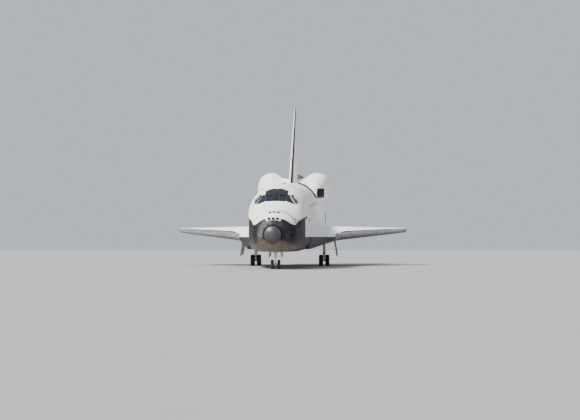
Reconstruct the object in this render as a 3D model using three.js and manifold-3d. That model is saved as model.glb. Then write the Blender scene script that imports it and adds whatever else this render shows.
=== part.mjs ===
// A winged space shuttle orbiter, parked on its landing gear.
// Millimetres, +Z up, nose towards -Y, port side +X.
import * as THREE from 'three';
import { mergeVertices } from 'three/addons/utils/BufferGeometryUtils.js';
import Module from 'manifold-3d';

const wasm = await Module();
wasm.setup();

// Airframe axes: x to port, y aft of the nose tip, z above the flat belly.
const SEAM = 0.3;               // gap between pieces that touch
const SKIN = 150;               // thickness of the cabin wall with its tiles
const PARKED_PITCH = THREE.MathUtils.degToRad(3.5);   // nose-down stance on the gear
const BELLY_OVER_NOSE = 1100;   // height of the belly plane above the ground below the nose tip

const CAP_END = 300;            // back edge of the nose cap
const BAY_FRONT = 8738;         // cabin's rear bulkhead
const BAY_BACK = 27153;         // payload bay's rear bulkhead
const BODY_HALF = 2667;         // half width of the middle body
const BODY_TOP = 5800;
const BODY_SIDE = 3198;         // height where the middle body is widest
const BAY_RADIUS = 2286;
const BAY_AXIS_Z = 3378;
const SILL_Z = 3760;            // lower edge of the payload bay doors
const DOOR_SKIN = 90;

const FUSELAGE_POINTS = 36;
// Columns: y, half width, bottom, widest height, top, power of the lower half, power of the upper half
const SECTIONS = [
  [0, 1, 1726, 1727, 1728, 2, 2],
  [25, 215, 1500, 1727, 1955, 2, 2],
  [100, 440, 1270, 1727, 2190, 2, 2],
  [CAP_END, 735, 990, 1735, 2480, 2, 2],
  [700, 1010, 760, 1750, 2790, 2.2, 2],
  [1575, 1422, 420, 1790, 3280, 2.6, 2],
  [2500, 1830, 230, 1950, 3700, 3.2, 2],
  [3500, 2100, 150, 2250, 4080, 4, 2.05],
  [3950, 2210, 115, 2450, 4330, 4.6, 2.15],
  [4300, 2270, 90, 2620, 4570, 5, 2.22],
  [4800, 2350, 60, 2800, 4950, 5.5, 2.3],
  [5400, 2440, 30, 2900, 5180, 6, 2.3],
  [6655, 2565, 5, 3050, 5480, 7.5, 2.15],
  [7700, 2630, 0, 3150, 5680, 8.5, 2.05],
  [BAY_FRONT, BODY_HALF, 0, BODY_SIDE, BODY_TOP, 9, 2],
  [BAY_BACK, BODY_HALF, 0, BODY_SIDE, BODY_TOP, 9, 2],
  [29000, 3080, 20, 3300, 5780, 9, 2.5],
  [30500, 3330, 70, 3400, 5740, 9, 2.9],
  [33000, 3353, 200, 3400, 5600, 9, 2.9],
];

const V = (x, y, z) => new THREE.Vector3(x, y, z);
const lerp = THREE.MathUtils.lerp;
const rad = THREE.MathUtils.degToRad;

// Closed meshes and solids

function toSolid(geometry) {
  const bare = geometry.clone();
  for (const name of Object.keys(bare.attributes)) {
    if (name !== 'position') bare.deleteAttribute(name);
  }
  const merged = mergeVertices(bare, 1e-3);
  const index = merged.index.array;
  const triangles = [];
  for (let i = 0; i < index.length; i += 3) {
    const [a, b, c] = [index[i], index[i + 1], index[i + 2]];
    if (a !== b && b !== c && c !== a) triangles.push(a, b, c);
  }
  return new wasm.Manifold(new wasm.Mesh({
    numProp: 3,
    vertProperties: new Float32Array(merged.attributes.position.array),
    triVerts: new Uint32Array(triangles),
  }));
}

function toGeometry(solid) {
  const mesh = solid.getMesh();
  const geometry = new THREE.BufferGeometry();
  geometry.setAttribute('position', new THREE.BufferAttribute(new Float32Array(mesh.vertProperties), 3));
  geometry.setIndex(Array.from(mesh.triVerts));
  geometry.computeVertexNormals();
  return geometry;
}

function signedVolume(points, faces) {
  let sum = 0;
  const cross = V(0, 0, 0);
  for (const [a, b, c] of faces) sum += points[a].dot(cross.crossVectors(points[b], points[c]));
  return sum / 6;
}

// Skin between closed rings of equal length, with a fan over each end.
function loft(rings) {
  const count = rings[0].length;
  const points = rings.flat();
  const faces = [];
  for (let r = 0; r + 1 < rings.length; r += 1) {
    for (let i = 0; i < count; i += 1) {
      const j = (i + 1) % count;
      const [a, b, c, d] = [r * count + i, r * count + j, (r + 1) * count + j, (r + 1) * count + i];
      // The diagonals mirror each other across the middle of the craft
      const starboard = points[a].x + points[b].x + points[c].x + points[d].x < 0;
      if (starboard) faces.push([a, b, d], [b, c, d]);
      else faces.push([a, b, c], [a, c, d]);
    }
  }
  for (const [ring, flip] of [[0, true], [rings.length - 1, false]]) {
    const middle = V(0, 0, 0);
    for (const p of rings[ring]) middle.addScaledVector(p, 1 / count);
    points.push(middle);
    for (let i = 0; i < count; i += 1) {
      const [a, b] = [ring * count + i, ring * count + (i + 1) % count];
      faces.push(flip ? [points.length - 1, b, a] : [points.length - 1, a, b]);
    }
  }
  if (signedVolume(points, faces) < 0) faces.forEach((face) => face.reverse());
  const geometry = new THREE.BufferGeometry();
  geometry.setAttribute('position', new THREE.Float32BufferAttribute(points.flatMap((p) => p.toArray()), 3));
  geometry.setIndex(faces.flat());
  return toSolid(geometry);
}

function box(x0, x1, y0, y1, z0, z1) {
  const geometry = new THREE.BoxGeometry(x1 - x0, y1 - y0, z1 - z0);
  return toSolid(geometry.translate((x0 + x1) / 2, (y0 + y1) / 2, (z0 + z1) / 2));
}

// Outline of [y, z] points pulled along x.
function slab(outline, x0, x1) {
  const shape = new THREE.Shape(outline.map(([y, z]) => new THREE.Vector2(y, z)));
  const geometry = new THREE.ExtrudeGeometry(shape, { depth: x1 - x0, bevelEnabled: false });
  const axes = new THREE.Matrix4().makeBasis(V(0, 1, 0), V(0, 0, 1), V(1, 0, 0));
  return toSolid(geometry.applyMatrix4(axes).translate(x0, 0, 0));
}

// Cylinder or cone along x.
function rod(x0, x1, radius0, radius1 = radius0, sides = 24) {
  const geometry = new THREE.CylinderGeometry(radius1, radius0, x1 - x0, sides);
  return toSolid(geometry.rotateZ(-Math.PI / 2).translate((x0 + x1) / 2, 0, 0));
}

// Profile of [distance, radius] points turned about the y axis.
function turned(profile, sides) {
  const geometry = new THREE.LatheGeometry(profile.map(([along, r]) => new THREE.Vector2(r, along)), sides);
  const points = geometry.attributes.position;
  const index = Array.from(geometry.index.array);
  const corners = Array.from({ length: points.count }, (_, i) => V(0, 0, 0).fromBufferAttribute(points, i));
  const faces = [];
  for (let i = 0; i < index.length; i += 3) faces.push([index[i], index[i + 1], index[i + 2]]);
  if (signedVolume(corners, faces) < 0) faces.forEach((face) => face.reverse());
  geometry.setIndex(faces.flat());
  return toSolid(geometry);
}

const moved = (solid, x, y, z) => solid.translate([x, y, z]);
const mirrored = (solid) => solid.mirror([1, 0, 0]);
const joined = (...solids) => solids.reduce((sum, next) => sum.add(next));

// Fuselage

function sectionAt(y) {
  const last = SECTIONS.length - 1;
  let i = 0;
  while (i < last - 1 && SECTIONS[i + 1][0] < y) i += 1;
  const t = (y - SECTIONS[i][0]) / (SECTIONS[i + 1][0] - SECTIONS[i][0]);
  return SECTIONS[i].map((value, k) => lerp(value, SECTIONS[i + 1][k], t));
}

function ringAt(y, inset) {
  const [, half, bottom, side, top, lower, upper] = sectionAt(y);
  return Array.from({ length: FUSELAGE_POINTS }, (_, i) => {
    const angle = (i / FUSELAGE_POINTS) * 2 * Math.PI;
    const [c, s] = [Math.cos(angle), Math.sin(angle)];
    const power = 2 / (s < 0 ? lower : upper);
    const height = (s < 0 ? side - bottom : top - side) - inset;
    return V((half - inset) * Math.sign(c) * Math.abs(c) ** power, y,
      side + height * Math.sign(s) * Math.abs(s) ** power);
  });
}

// Fuselage body between two stations, grown inwards by inset, or outwards where that is negative.
function body(y0, y1, inset = 0) {
  const stations = SECTIONS.map((row) => row[0]).filter((y) => y > y0 + 1 && y < y1 - 1);
  return loft([y0, ...stations, y1].map((y) => ringAt(y, inset)));
}

function isInside(x, y, z) {
  const [, half, bottom, side, top, lower, upper] = sectionAt(y);
  const power = z < side ? lower : upper;
  const height = z < side ? side - bottom : top - side;
  return Math.abs(x / half) ** power + Math.abs((z - side) / height) ** power < 1;
}

// Point of the skin that shows at x, z when the nose is seen from ahead.
function skinPoint(x, z) {
  let [y0, y1] = [CAP_END, BAY_FRONT];
  for (let i = 0; i < 30; i += 1) {
    const y = (y0 + y1) / 2;
    if (isInside(x, y, z)) y1 = y;
    else y0 = y;
  }
  return V(x, y1, z);
}

// Windows: front view corners x, z of each port pane, counted from the middle outwards
const WINDSHIELD = [
  [[270, 4430], [820, 4400], [800, 4930], [300, 4960]],
  [[935, 4390], [1620, 4140], [1190, 4850], [935, 4900]],
  [[1730, 4180], [1850, 4190], [1870, 4450], [1370, 4920], [1300, 4840]],
];
const PANE = { outside: 20, inside: 80, gap: 0.4, reach: 300 };

// Prism through the skin around a window's outline, shrunk by margin.
function windowPrism(corners, reach, margin) {
  const points = corners.map(([x, z]) => skinPoint(x, z));
  const middle = points.reduce((sum, p) => sum.add(p), V(0, 0, 0)).divideScalar(points.length);
  const normal = V(0, 0, 0);
  points.forEach((p, i) => {
    const q = points[(i + 1) % points.length];
    normal.add(V(0, 0, 0).crossVectors(p.clone().sub(middle), q.clone().sub(middle)));
  });
  normal.normalize();
  if (normal.y > 0) normal.negate();
  const rim = points.map((p) => p.clone().lerp(middle, margin / p.distanceTo(middle)));
  const flat = rim.map((p) => p.addScaledVector(normal, -normal.dot(p.clone().sub(middle))));
  return loft([-reach, reach].map((d) => flat.map((p) => p.clone().addScaledVector(normal, d))));
}

// Crew hatch in the port side, on a hinge below it: one knuckle on the hatch between two on the body
const HATCH = { y: 5890, z: 2350, radius: 508, pane: 127, gap: 6, sides: 40 };
const HATCH_HINGE = { x: 2520, z: 1826, radius: 26, half: 100, end: 190, root: 90 };

const WELL_NOSE = { half: 520, front: 2500, back: 5300, top: 1150 };
const CABIN = { front: 3950, back: BAY_FRONT - SKIN, floor: 1400, deck: 3250, deckThick: 60 };

function cabinSpace() {
  const { front, back, floor } = CABIN;
  return body(front, back, SKIN).intersect(box(-3000, 3000, front, back, floor, 6000));
}

function hatchPlug(radius) {
  return moved(rod(1800, 3200, radius, radius, HATCH.sides), 0, HATCH.y, HATCH.z);
}

// Barrel of a hinge along y
function barrel(x, z, radius, y0, y1) {
  return toSolid(new THREE.CylinderGeometry(radius, radius, y1 - y0, 12).translate(x, (y0 + y1) / 2, z));
}

// The hatch's knuckle, with a bracket up to the hatch
function hatchKnuckle() {
  const { x, z, radius, half, root } = HATCH_HINGE;
  const [y0, y1] = [HATCH.y - half, HATCH.y + half];
  const post = box(x - radius, x + 10, y0, y1, z, z + 90);
  const foot = box(x - root, x + 10, y0, y1, z + radius + 10, z + 90);
  return joined(barrel(x, z, radius, y0, y1), post, foot);
}

// The body's two knuckles, with brackets down to the body
function hatchBrackets() {
  const { x, z, radius, half, end, root } = HATCH_HINGE;
  return joined(...[[-end, -half], [half, end]].map(([from, to]) => {
    const [y0, y1] = [HATCH.y + from + SEAM, HATCH.y + to - SEAM];
    return barrel(x, z, radius, y0, y1).add(box(x - root, x + 10, y0, y1, z - 70, z - 8));
  }));
}

function windshieldPrisms(margin) {
  const port = WINDSHIELD.map((corners) => windowPrism(corners, PANE.reach, margin));
  return [...port.map(mirrored).reverse(), ...port];
}

// Windows above the flight deck, seen from overhead
const OVERHEAD = { x0: 180, x1: 700, y0: 5950, y1: 6450 };

function overheadPrism(margin) {
  const { x0, x1, y0, y1 } = OVERHEAD;
  return box(x0 + margin, x1 - margin, y0 + margin, y1 - margin, 4900, 6000);
}

// Flat pads under the belly where the outer tank is bolted on: one ahead on the middle, two aft
const TANK_PAD = { radius: 160, below: -25, frontY: 5700, aftY: 27457, aftX: 2451 };

function tankPad(x, y, top, gap = 0) {
  return moved(upright(TANK_PAD.radius + gap, TANK_PAD.below - gap, top + gap, 24), x, y, 0);
}

function forwardFuselage() {
  let shell = body(CAP_END + SEAM, BAY_FRONT).subtract(cabinSpace());
  for (const prism of windshieldPrisms(0)) shell = shell.subtract(prism);
  for (const prism of [overheadPrism(0), mirrored(overheadPrism(0))]) shell = shell.subtract(prism);
  const { half, front, back, top } = WELL_NOSE;
  return shell.subtract(hatchPlug(HATCH.radius + HATCH.gap))
    .add(hatchBrackets())
    .subtract(box(-half, half, front, back, -500, top))
    .add(tankPad(0, TANK_PAD.frontY, 200));
}

function paneLayer() {
  const outside = body(CAP_END, BAY_FRONT, PANE.outside);
  return outside.subtract(body(CAP_END - 1, BAY_FRONT + 1, PANE.inside));
}

// Wing

const WING = {
  root: 2150, tip: 11895, tipBottom: 635, rootThickness: 1500, tipThickness: 405,
  hingeY: 29185, elevonIn: 3734, elevonMid: 7938, elevonOut: 11717, coveGap: 12,
};
const EDGE_DEPTH = 420;          // leading edge panels, front to back
const WING_STATIONS = [
  WING.root, BODY_HALF, 3100, 3600, 4200, 4800, 5500, 6500, 8000, 10000, 11500, WING.tip,
];
const CHORD_STEPS = 8;

// Front edge: a swept glove along the body, then the 45 degree wing, rounded where they meet
function leadingEdgeY(x) {
  const glove = 6655 + (Math.max(x, BODY_HALF) - BODY_HALF) * 6.31;
  const wing = 15342 + x;
  const blend = 900;
  const tip = x > 11500 ? (x - 11500) * 1.1 : 0;
  const middle = 20000;
  const sum = Math.exp((middle - glove) / blend) + Math.exp((middle - wing) / blend);
  return middle - blend * Math.log(sum) + tip;
}
const trailingEdgeY = (x) => 32842 - 0.1773 * x;
const spanShare = (x) => Math.max(0, (x - BODY_HALF) / (WING.tip - BODY_HALF));
const wingBottom = (x) => spanShare(x) * WING.tipBottom;
const wingThickness = (x) => lerp(WING.rootThickness, WING.tipThickness, spanShare(x));
const elevonShare = (x) => (x - WING.elevonIn) / (WING.elevonOut - WING.elevonIn);
const hingeHalf = (x) => lerp(253, 148, elevonShare(x));
const hingeZ = (x) => lerp(325, 772, elevonShare(x));

// Section of the fixed wing at x, from the front edge to the elevon hinge
function wingRing(x) {
  const front = leadingEdgeY(x);
  const back = WING.hingeY - 0.62 * hingeHalf(x);
  const crest = Math.min(lerp(22800, 28400, spanShare(x)), back - 300);
  const bottom = wingBottom(x);
  const thick = wingThickness(x);
  const round = THREE.MathUtils.clamp((x - 3000) / 2600, 0.12, 1);
  const nose = 0.26 * thick * lerp(0.45, 1, round);
  const rear = 2 * hingeHalf(x) * 1.04;
  const upper = [];
  const lower = [];
  for (let i = 0; i <= CHORD_STEPS; i += 1) {
    const s = (i / CHORD_STEPS) ** 2;
    const rise = lerp(s ** 0.8, Math.sqrt(1 - (1 - s) ** 2), round);
    const under = Math.max(0, 1 - s / 0.25) ** 2;
    upper.push(V(x, lerp(front, crest, s), bottom + nose * (1 - s) + thick * rise));
    lower.push(V(x, lerp(front, crest, s), bottom + nose * under));
  }
  for (const t of [0.5, 1]) {
    upper.push(V(x, lerp(crest, back, t), bottom + lerp(thick, rear, t ** 1.15)));
    lower.push(V(x, lerp(crest, back, t), bottom));
  }
  return [...upper, ...lower.slice(1).reverse()];
}

const hingeLineFrame = (() => {
  const start = V(WING.elevonIn, WING.hingeY, hingeZ(WING.elevonIn));
  const end = V(WING.elevonOut, WING.hingeY, hingeZ(WING.elevonOut));
  return { start, angle: Math.atan2(end.z - start.z, end.x - start.x), length: end.distanceTo(start) };
})();

// Puts a solid made along the elevon hinge, x from the inboard end, in its place on the port wing
function onHingeLine(solid) {
  const { start, angle } = hingeLineFrame;
  return moved(solid.rotate([0, -THREE.MathUtils.radToDeg(angle), 0]), start.x, start.y, start.z);
}

const WELL_MAIN = { x0: 2700, x1: 4572, front: 20371, back: 24206, top: 1150 };

function wholeWing() {
  const raw = loft(WING_STATIONS.map(wingRing));
  const length = hingeLineFrame.length;
  const r0 = hingeHalf(WING.elevonIn) + WING.coveGap;
  const slope = (hingeHalf(WING.elevonOut) - hingeHalf(WING.elevonIn)) / length;
  const [inner, outer] = [-1700, length + 400];
  const cove = onHingeLine(rod(inner, outer, r0 + inner * slope, r0 + outer * slope, 32));
  const hull = body(3000, 33000, -SEAM);
  const pad = tankPad(TANK_PAD.aftX, TANK_PAD.aftY, 300, SEAM);
  return raw.subtract(cove).subtract(hull).subtract(pad);
}

// Front strip of the wing, along its swept edge
function edgeZone(depth) {
  const front = WING_STATIONS.map((x) => V(x, leadingEdgeY(x) - 900, 0));
  const back = WING_STATIONS.map((x) => V(x, leadingEdgeY(x) + depth(x), 0));
  const outline = [...front, ...back.reverse()];
  const shape = new THREE.Shape(outline.map((p) => new THREE.Vector2(p.x, p.y)));
  const geometry = new THREE.ExtrudeGeometry(shape, { depth: 4000, bevelEnabled: false });
  return toSolid(geometry.translate(0, 0, -1000));
}

// Depth of the leading edge panels, less along the swept glove
function edgeDepth(x) {
  const taper = THREE.MathUtils.clamp((x - 2600) / 2400, 0.3, 1);
  return EDGE_DEPTH * taper * (x < 5000 ? 1.6 : 1);
}

// Section of a hinged flap: round ahead of the hinge, a wedge with a blunt edge behind it
function flapRing(x, radius, chord, lift, edge) {
  const ring = [];
  for (let i = 0; i <= 12; i += 1) {
    const angle = rad(80 + (i / 12) * 190);
    ring.push(V(x, radius * Math.cos(angle), radius * Math.sin(angle)));
  }
  ring.push(V(x, chord, lift - radius), V(x, chord, lift + edge - radius));
  return ring;
}

// Elevons, made along the hinge line

function elevon(x0, x1) {
  const scale = hingeLineFrame.length / (WING.elevonOut - WING.elevonIn);
  return loft([x0, x1].map((x) => flapRing(
    (x - WING.elevonIn) * scale, hingeHalf(x), trailingEdgeY(x) - WING.hingeY, 10, 60)));
}

// A lug on the fixed side that stands in a slot of the moving side, on the hinge line
function lugAndSlot(middle, width, radius) {
  const [r, reach] = [0.78 * radius, radius + 60];
  const [x0, x1] = [middle - width / 2, middle + width / 2];
  const thin = 0.6 * radius;
  const arm = [[0, thin], [0, -thin], [-reach, -thin], [-reach, thin]];
  const lug = slab(arm, x0, x1).add(rod(x0, x1, r, r, 16));
  const gap = WING.coveGap;
  const slot = rod(x0 - SEAM, x1 + SEAM, r + gap, r + gap, 16)
    .add(box(x0 - SEAM, x1 + SEAM, -2 * radius, 0, -1.4 * radius, 1.4 * radius));
  return { lug, slot };
}

// Fin and rudder

const FIN = {
  rootZ: 5500, z0: 5918, z1: 13937, front0: 26467, front1: 34481, back0: 33282, back1: 37236,
  half0: 330, half1: 140, rudderZ0: 7650, rudderZ1: 13700, tubeInset: 60, flange: 30,
};
// Outline y, z of the space under the fin's overhanging back end
const UNDER_FIN = [
  [31600, 5000], [31600, 5960], [32650, 6650], [34300, 7700], [36000, 7700], [36000, 5000],
];
const finT = (z) => (z - FIN.z0) / (FIN.z1 - FIN.z0);
const finFront = (z) => lerp(FIN.front0, FIN.front1, finT(z));
const finBack = (z) => lerp(FIN.back0, FIN.back1, finT(z));
const finHalf = (z) => lerp(FIN.half0, FIN.half1, finT(z));
const finHinge = (z) => lerp(finFront(z), finBack(z), 0.6);

function finRing(z) {
  const [front, back, half] = [finFront(z), finBack(z), finHalf(z)];
  const chord = back - front;
  // Share of the chord and of the half thickness
  const side = [[0, 0.1], [0.012, 0.22], [0.06, 0.36], [0.42, 1], [0.62, 1], [1, 0.06]];
  const port = side.map(([s, w]) => V(half * w, front + s * chord, z));
  const starboard = side.map(([s, w]) => V(-half * w, front + s * chord, z)).reverse();
  return [...port, ...starboard];
}

const rudderLine = (() => {
  const start = V(0, finHinge(FIN.rudderZ0), FIN.rudderZ0);
  const end = V(0, finHinge(FIN.rudderZ1), FIN.rudderZ1);
  const sweep = Math.atan2(end.y - start.y, end.z - start.z);
  return { start, sweep, length: end.distanceTo(start) };
})();

// Puts a solid made along x (up the hinge) with y aft in its place on the fin
function rudderMatrix() {
  const { start, sweep } = rudderLine;
  const up = V(0, Math.sin(sweep), Math.cos(sweep));
  const aft = V(0, Math.cos(sweep), -Math.sin(sweep));
  return new THREE.Matrix4().makeBasis(up, aft, V(0, 0, 0).crossVectors(up, aft)).setPosition(start);
}

const onRudderLine = (solid) => solid.transform(Array.from(rudderMatrix().elements));

const outerAt = (s) => finHalf(lerp(FIN.rudderZ0, FIN.rudderZ1, s / rudderLine.length));
const rudderChord = (s) => {
  const z = lerp(FIN.rudderZ0, FIN.rudderZ1, s / rudderLine.length);
  return (finBack(z) - finHinge(z)) * Math.cos(rudderLine.sweep);
};

function fin() {
  const levels = [FIN.rootZ - 300, FIN.z0, 9000, 11500, FIN.z1 - 60];
  const blade = loft(levels.map(finRing));
  const cap = loft([FIN.z1 - 60, FIN.z1].map((z, i) => finRing(z).map((p) => (i ? p.setX(p.x * 0.4) : p))));
  const length = rudderLine.length;
  const reach = (s) => outerAt(s) + 8;
  const bay = loft([-FIN.flange - SEAM, length + 2000].map((s) => [
    V(s, -reach(s), -900), V(s, -reach(s), 900), V(s, 4000, 900), V(s, 4000, -900)]));
  return blade.add(cap)
    .subtract(onRudderLine(bay))
    .subtract(slab(UNDER_FIN, -900, 900))
    .subtract(body(20000, 33000, -SEAM));
}

function rudderTube() {
  const length = rudderLine.length;
  return rod(-FIN.flange, length, outerAt(0) - FIN.tubeInset, outerAt(length) - FIN.tubeInset, 32)
    .add(rod(-FIN.flange, -SEAM, outerAt(0), outerAt(0), 32));
}

function rudderPanel() {
  const length = rudderLine.length;
  const rings = [0, length + 900].map((s) => {
    const half = outerAt(s);
    const chord = rudderChord(s);
    return [V(s, 0, 4), V(s, 0, half), V(s, 60, half), V(s, chord, 0.06 * half + 18), V(s, chord, 4)];
  });
  const room = FIN.tubeInset - 6;
  const [low, high] = [-10, length + 1000];
  const inner = rod(low, high, outerAt(0) - room, outerAt(high) - room, 32);
  return onRudderLine(loft(rings).subtract(inner))
    .intersect(box(-900, 900, 20000, 40000, 5000, FIN.z1))
    .subtract(slab(UNDER_FIN, -900, 900));
}

// Aft body, with its base, engines and pods

const BASE = {
  stubTop: 900, upperPitch: rad(16), lowerPitch: rad(10), planeAhead: 850, thickness: 100,
  domeRadius: 1100, domeGap: 45,
};
const ENGINES = [
  { name: 'upper', x: 0, y: 30658, z: 4470, pitch: BASE.upperPitch },
  { name: 'port', x: 1346, y: 31242, z: 1920, pitch: BASE.lowerPitch },
  { name: 'starboard', x: -1346, y: 31242, z: 1920, pitch: BASE.lowerPitch },
];
const BELL = { length: 4267, exitRadius: 1152, start: 1030, startRadius: 400, wall: 45 };

// Side view of the space ahead of the base, which is canted to face along the engines
function baseOutline(offset) {
  const planes = [ENGINES[1], ENGINES[0]].map((e) => {
    const reach = BASE.planeAhead + offset;
    const slope = Math.tan(e.pitch);
    const [y, z] = [e.y + reach * Math.cos(e.pitch), e.z + reach * Math.sin(e.pitch)];
    return { slope, yAt: (height) => y - (height - z) * slope };
  });
  const [low, high] = planes;
  const knee = (high.yAt(0) - low.yAt(0)) / (high.slope - low.slope);
  const [front, bottom, top] = [20000, -500, 6500];
  return [
    [front, bottom], [low.yAt(bottom), bottom], [low.yAt(knee), knee], [high.yAt(top), top], [front, top],
  ];
}

const AFT_WALL = 100;
const FLAP = {
  y: 32868, z: 508, radius: 300, chord: 2057, half: 3065, gap: 12, lugs: [-2000, 2000], lugWidth: 120,
};

// Beam from the bay's rear bulkhead to an engine, with two cheeks that hold its gimbal shaft
function thrustBeam({ x, y, z }) {
  const beam = box(x - 420, x + 420, BAY_BACK + 60, y - 260, z - 300, z + 300);
  const cheek = (offset) => box(x + offset - 90, x + offset + 90, y - 400, y + 150, z - 150, z + 150);
  return joined(beam, cheek(-330), cheek(330));
}

// Shelf across the bottom of the base, with the round seat of the body flap
function flapStub() {
  const lip = FLAP.y - 0.6 * FLAP.radius;
  const outline = [
    [lip - 1200, 150], [lip - 1200, BASE.stubTop], [lip - 400, BASE.stubTop], [lip, 790], [lip, 200],
  ];
  const [reach, radius] = [FLAP.half + 50, FLAP.radius + FLAP.gap];
  const seat = moved(rod(-reach, reach, radius, radius, 40), 0, FLAP.y, FLAP.z);
  const lugs = FLAP.lugs.map((x) => moved(lugAndSlot(x, FLAP.lugWidth, FLAP.radius).lug, 0, FLAP.y, FLAP.z));
  return slab(outline, -FLAP.half, FLAP.half).subtract(seat).add(joined(...lugs));
}

function aftFuselage() {
  const outer = body(BAY_BACK + SEAM, 33000).intersect(slab(baseOutline(0), -4000, 4000));
  const inner = body(BAY_BACK + AFT_WALL, 33500, AFT_WALL);
  const pads = [-1, 1].map((side) => tankPad(side * TANK_PAD.aftX, TANK_PAD.aftY, 300));
  return joined(outer.subtract(inner), ...ENGINES.map(thrustBeam), ...pads, flapStub());
}

function baseShield() {
  let plate = slab(baseOutline(BASE.thickness), -4000, 4000).subtract(slab(baseOutline(SEAM), -4100, 4100))
    .intersect(body(28000, 33400, 40))
    .subtract(box(-4000, 4000, 30000, 34000, -500, BASE.stubTop + SEAM));
  const hole = BASE.domeRadius + BASE.domeGap;
  for (const e of ENGINES) {
    const dome = new THREE.SphereGeometry(hole, 24, 14).rotateX(Math.PI / 2 + e.pitch);
    plate = plate.subtract(toSolid(dome.translate(e.x, e.y, e.z)));
  }
  return plate;
}

// Bell, heat dome and gimbal shaft, along +y from the gimbal at the origin
function mainEngine() {
  const { length, exitRadius, start, startRadius, wall } = BELL;
  const outside = [];
  const inside = [];
  for (let i = 0; i <= 5; i += 1) {
    const s = i / 5;
    const r = lerp(startRadius, exitRadius, s ** 0.62);
    outside.push([lerp(start, length, s), r]);
    if (i !== 2) inside.push([lerp(start + 30, length, s), r - wall]);
  }
  const dome = [];
  for (let i = 0; i <= 4; i += 1) {
    const angle = rad(58) * (1 - i / 4);
    const r = BASE.domeRadius * Math.sin(angle);
    if (r > startRadius) dome.push([BASE.domeRadius * Math.cos(angle), r]);
  }
  const [along, r] = dome[0];
  const neck = [[-120, 0], [-120, 180], [300, 200], [500, 330], [along - 40, r - 60]];
  const bell = turned([...neck, ...dome, ...outside, ...inside.reverse(), [start + 30, 0]], 22);
  return bell.add(rod(SEAM - 240, 240 - SEAM, 90, 90, 12));
}

function bodyFlap() {
  const flap = loft([6 - FLAP.half, FLAP.half - 6].map((x) => flapRing(x, FLAP.radius, FLAP.chord, 60, 70)));
  const slots = FLAP.lugs.map((x) => lugAndSlot(x, FLAP.lugWidth, FLAP.radius).slot);
  return flap.subtract(joined(...slots));
}

// Manoeuvring engine pods
// Columns: y, centre x, inner reach, outer reach, bottom, widest height, top
const POD_SECTIONS = [
  [27250, 2050, 500, 500, 4300, 4700, 5050],
  [27700, 2080, 1100, 950, 3950, 4900, 5900],
  [28500, 2150, 1500, 1450, 3750, 5000, 6480],
  [29600, 2235, 1735, 1650, 3700, 5050, 6850],
  [30900, 2235, 1735, 1720, 3700, 5050, 6930],
  [32100, 2260, 1300, 1700, 3750, 5100, 6850],
  [33000, 2280, 1150, 1620, 3900, 5200, 6650],
  [33600, 2290, 1050, 1480, 4150, 5300, 6420],
];
const POD_POINTS = 26;
const OMS = { x: 2235, y: 32900, z: 5560, pitch: rad(12), length: 1750, exitRadius: 585, half: 330 };

function podRing([y, x, inner, outer, bottom, side, top]) {
  const power = 2 / 2.3;
  return Array.from({ length: POD_POINTS }, (_, i) => {
    const angle = (i / POD_POINTS) * 2 * Math.PI;
    const [c, s] = [Math.cos(angle), Math.sin(angle)];
    const [width, height] = [c > 0 ? outer : inner, s > 0 ? top - side : side - bottom];
    return V(x + width * Math.sign(c) * Math.abs(c) ** power, y,
      side + height * Math.sign(s) * Math.abs(s) ** power);
  });
}

// Thruster housing that stands out behind the pod's outer corner
function thrusterHousing() {
  return loft([[31900, 0], [33200, 30], [34150, 90]].map(([y, taper]) => [
    V(3130 + taper, y, 4700 + taper), V(3850 - taper, y, 4620 + taper),
    V(3850 - taper, y, 5480 - taper), V(3130 + taper, y, 5560 - taper)]));
}

// Pod over the corner of the body, with a square recess and a round mouth for its engine
function pod() {
  const { x, y, z, half } = OMS;
  const recess = box(x - half, x + half, y - 250, y + 500, z - half, z + half);
  const mouth = toSolid(new THREE.CylinderGeometry(620, 420, 700, 32).translate(x, y + 450, z + 90));
  const inBody = body(20000, 33600, -SEAM).intersect(slab(baseOutline(130), -4000, 4000));
  return loft(POD_SECTIONS.map(podRing)).add(thrusterHousing())
    .subtract(inBody).subtract(recess).subtract(mouth);
}

function omsEngine() {
  const profile = [[-120, 0], [-120, 110], [180, 110], [320, 150]];
  const inside = [];
  for (let i = 0; i <= 4; i += 1) {
    const s = i / 4;
    const r = lerp(160, OMS.exitRadius, s ** 0.6);
    profile.push([lerp(400, OMS.length, s), r]);
    if (r > 190) inside.push([lerp(440, OMS.length, s), r - 30]);
  }
  profile.push(...inside.reverse(), [460, 0]);
  return turned(profile, 18).add(rod(SEAM - OMS.half, OMS.half - SEAM, 60, 60, 12));
}

// Payload bay doors on hinges along the sills, each with a door knuckle between two body knuckles

const DOOR_HINGE = { x: 2640, z: SILL_Z + 12, radius: 34, length: 260, count: 3 };
const DOOR_GAP = 6;

// Middles of the hinges, or of the body's knuckles on both sides of them
const hingePlaces = Array.from({ length: DOOR_HINGE.count }, (_, i) => lerp(
  BAY_FRONT, BAY_BACK, (i + 0.5) / DOOR_HINGE.count));
const rootPlaces = hingePlaces.flatMap((y) => [y - DOOR_HINGE.length, y + DOOR_HINGE.length]);

function knuckles(places, length, radius) {
  const { x, z } = DOOR_HINGE;
  return joined(...places.map((y) => barrel(x, z, radius, y - length / 2, y + length / 2)));
}

// Arms from the knuckles to the structure beside them
function hingeArms(places, x0, x1, z0, z1) {
  const half = DOOR_HINGE.length / 2 - SEAM;
  return joined(...places.map((y) => box(x0, x1, y - half, y + half, z0, z1)));
}

// Section of the bay: a half circle with straight walls above it
function bayRing(y, radius, top) {
  const ring = [];
  for (let i = 0; i <= 20; i += 1) {
    const angle = Math.PI + (i / 20) * Math.PI;
    ring.push(V(radius * Math.cos(angle), y, BAY_AXIS_Z + radius * Math.sin(angle)));
  }
  ring.push(V(radius, y, top), V(-radius, y, top));
  return ring;
}

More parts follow.
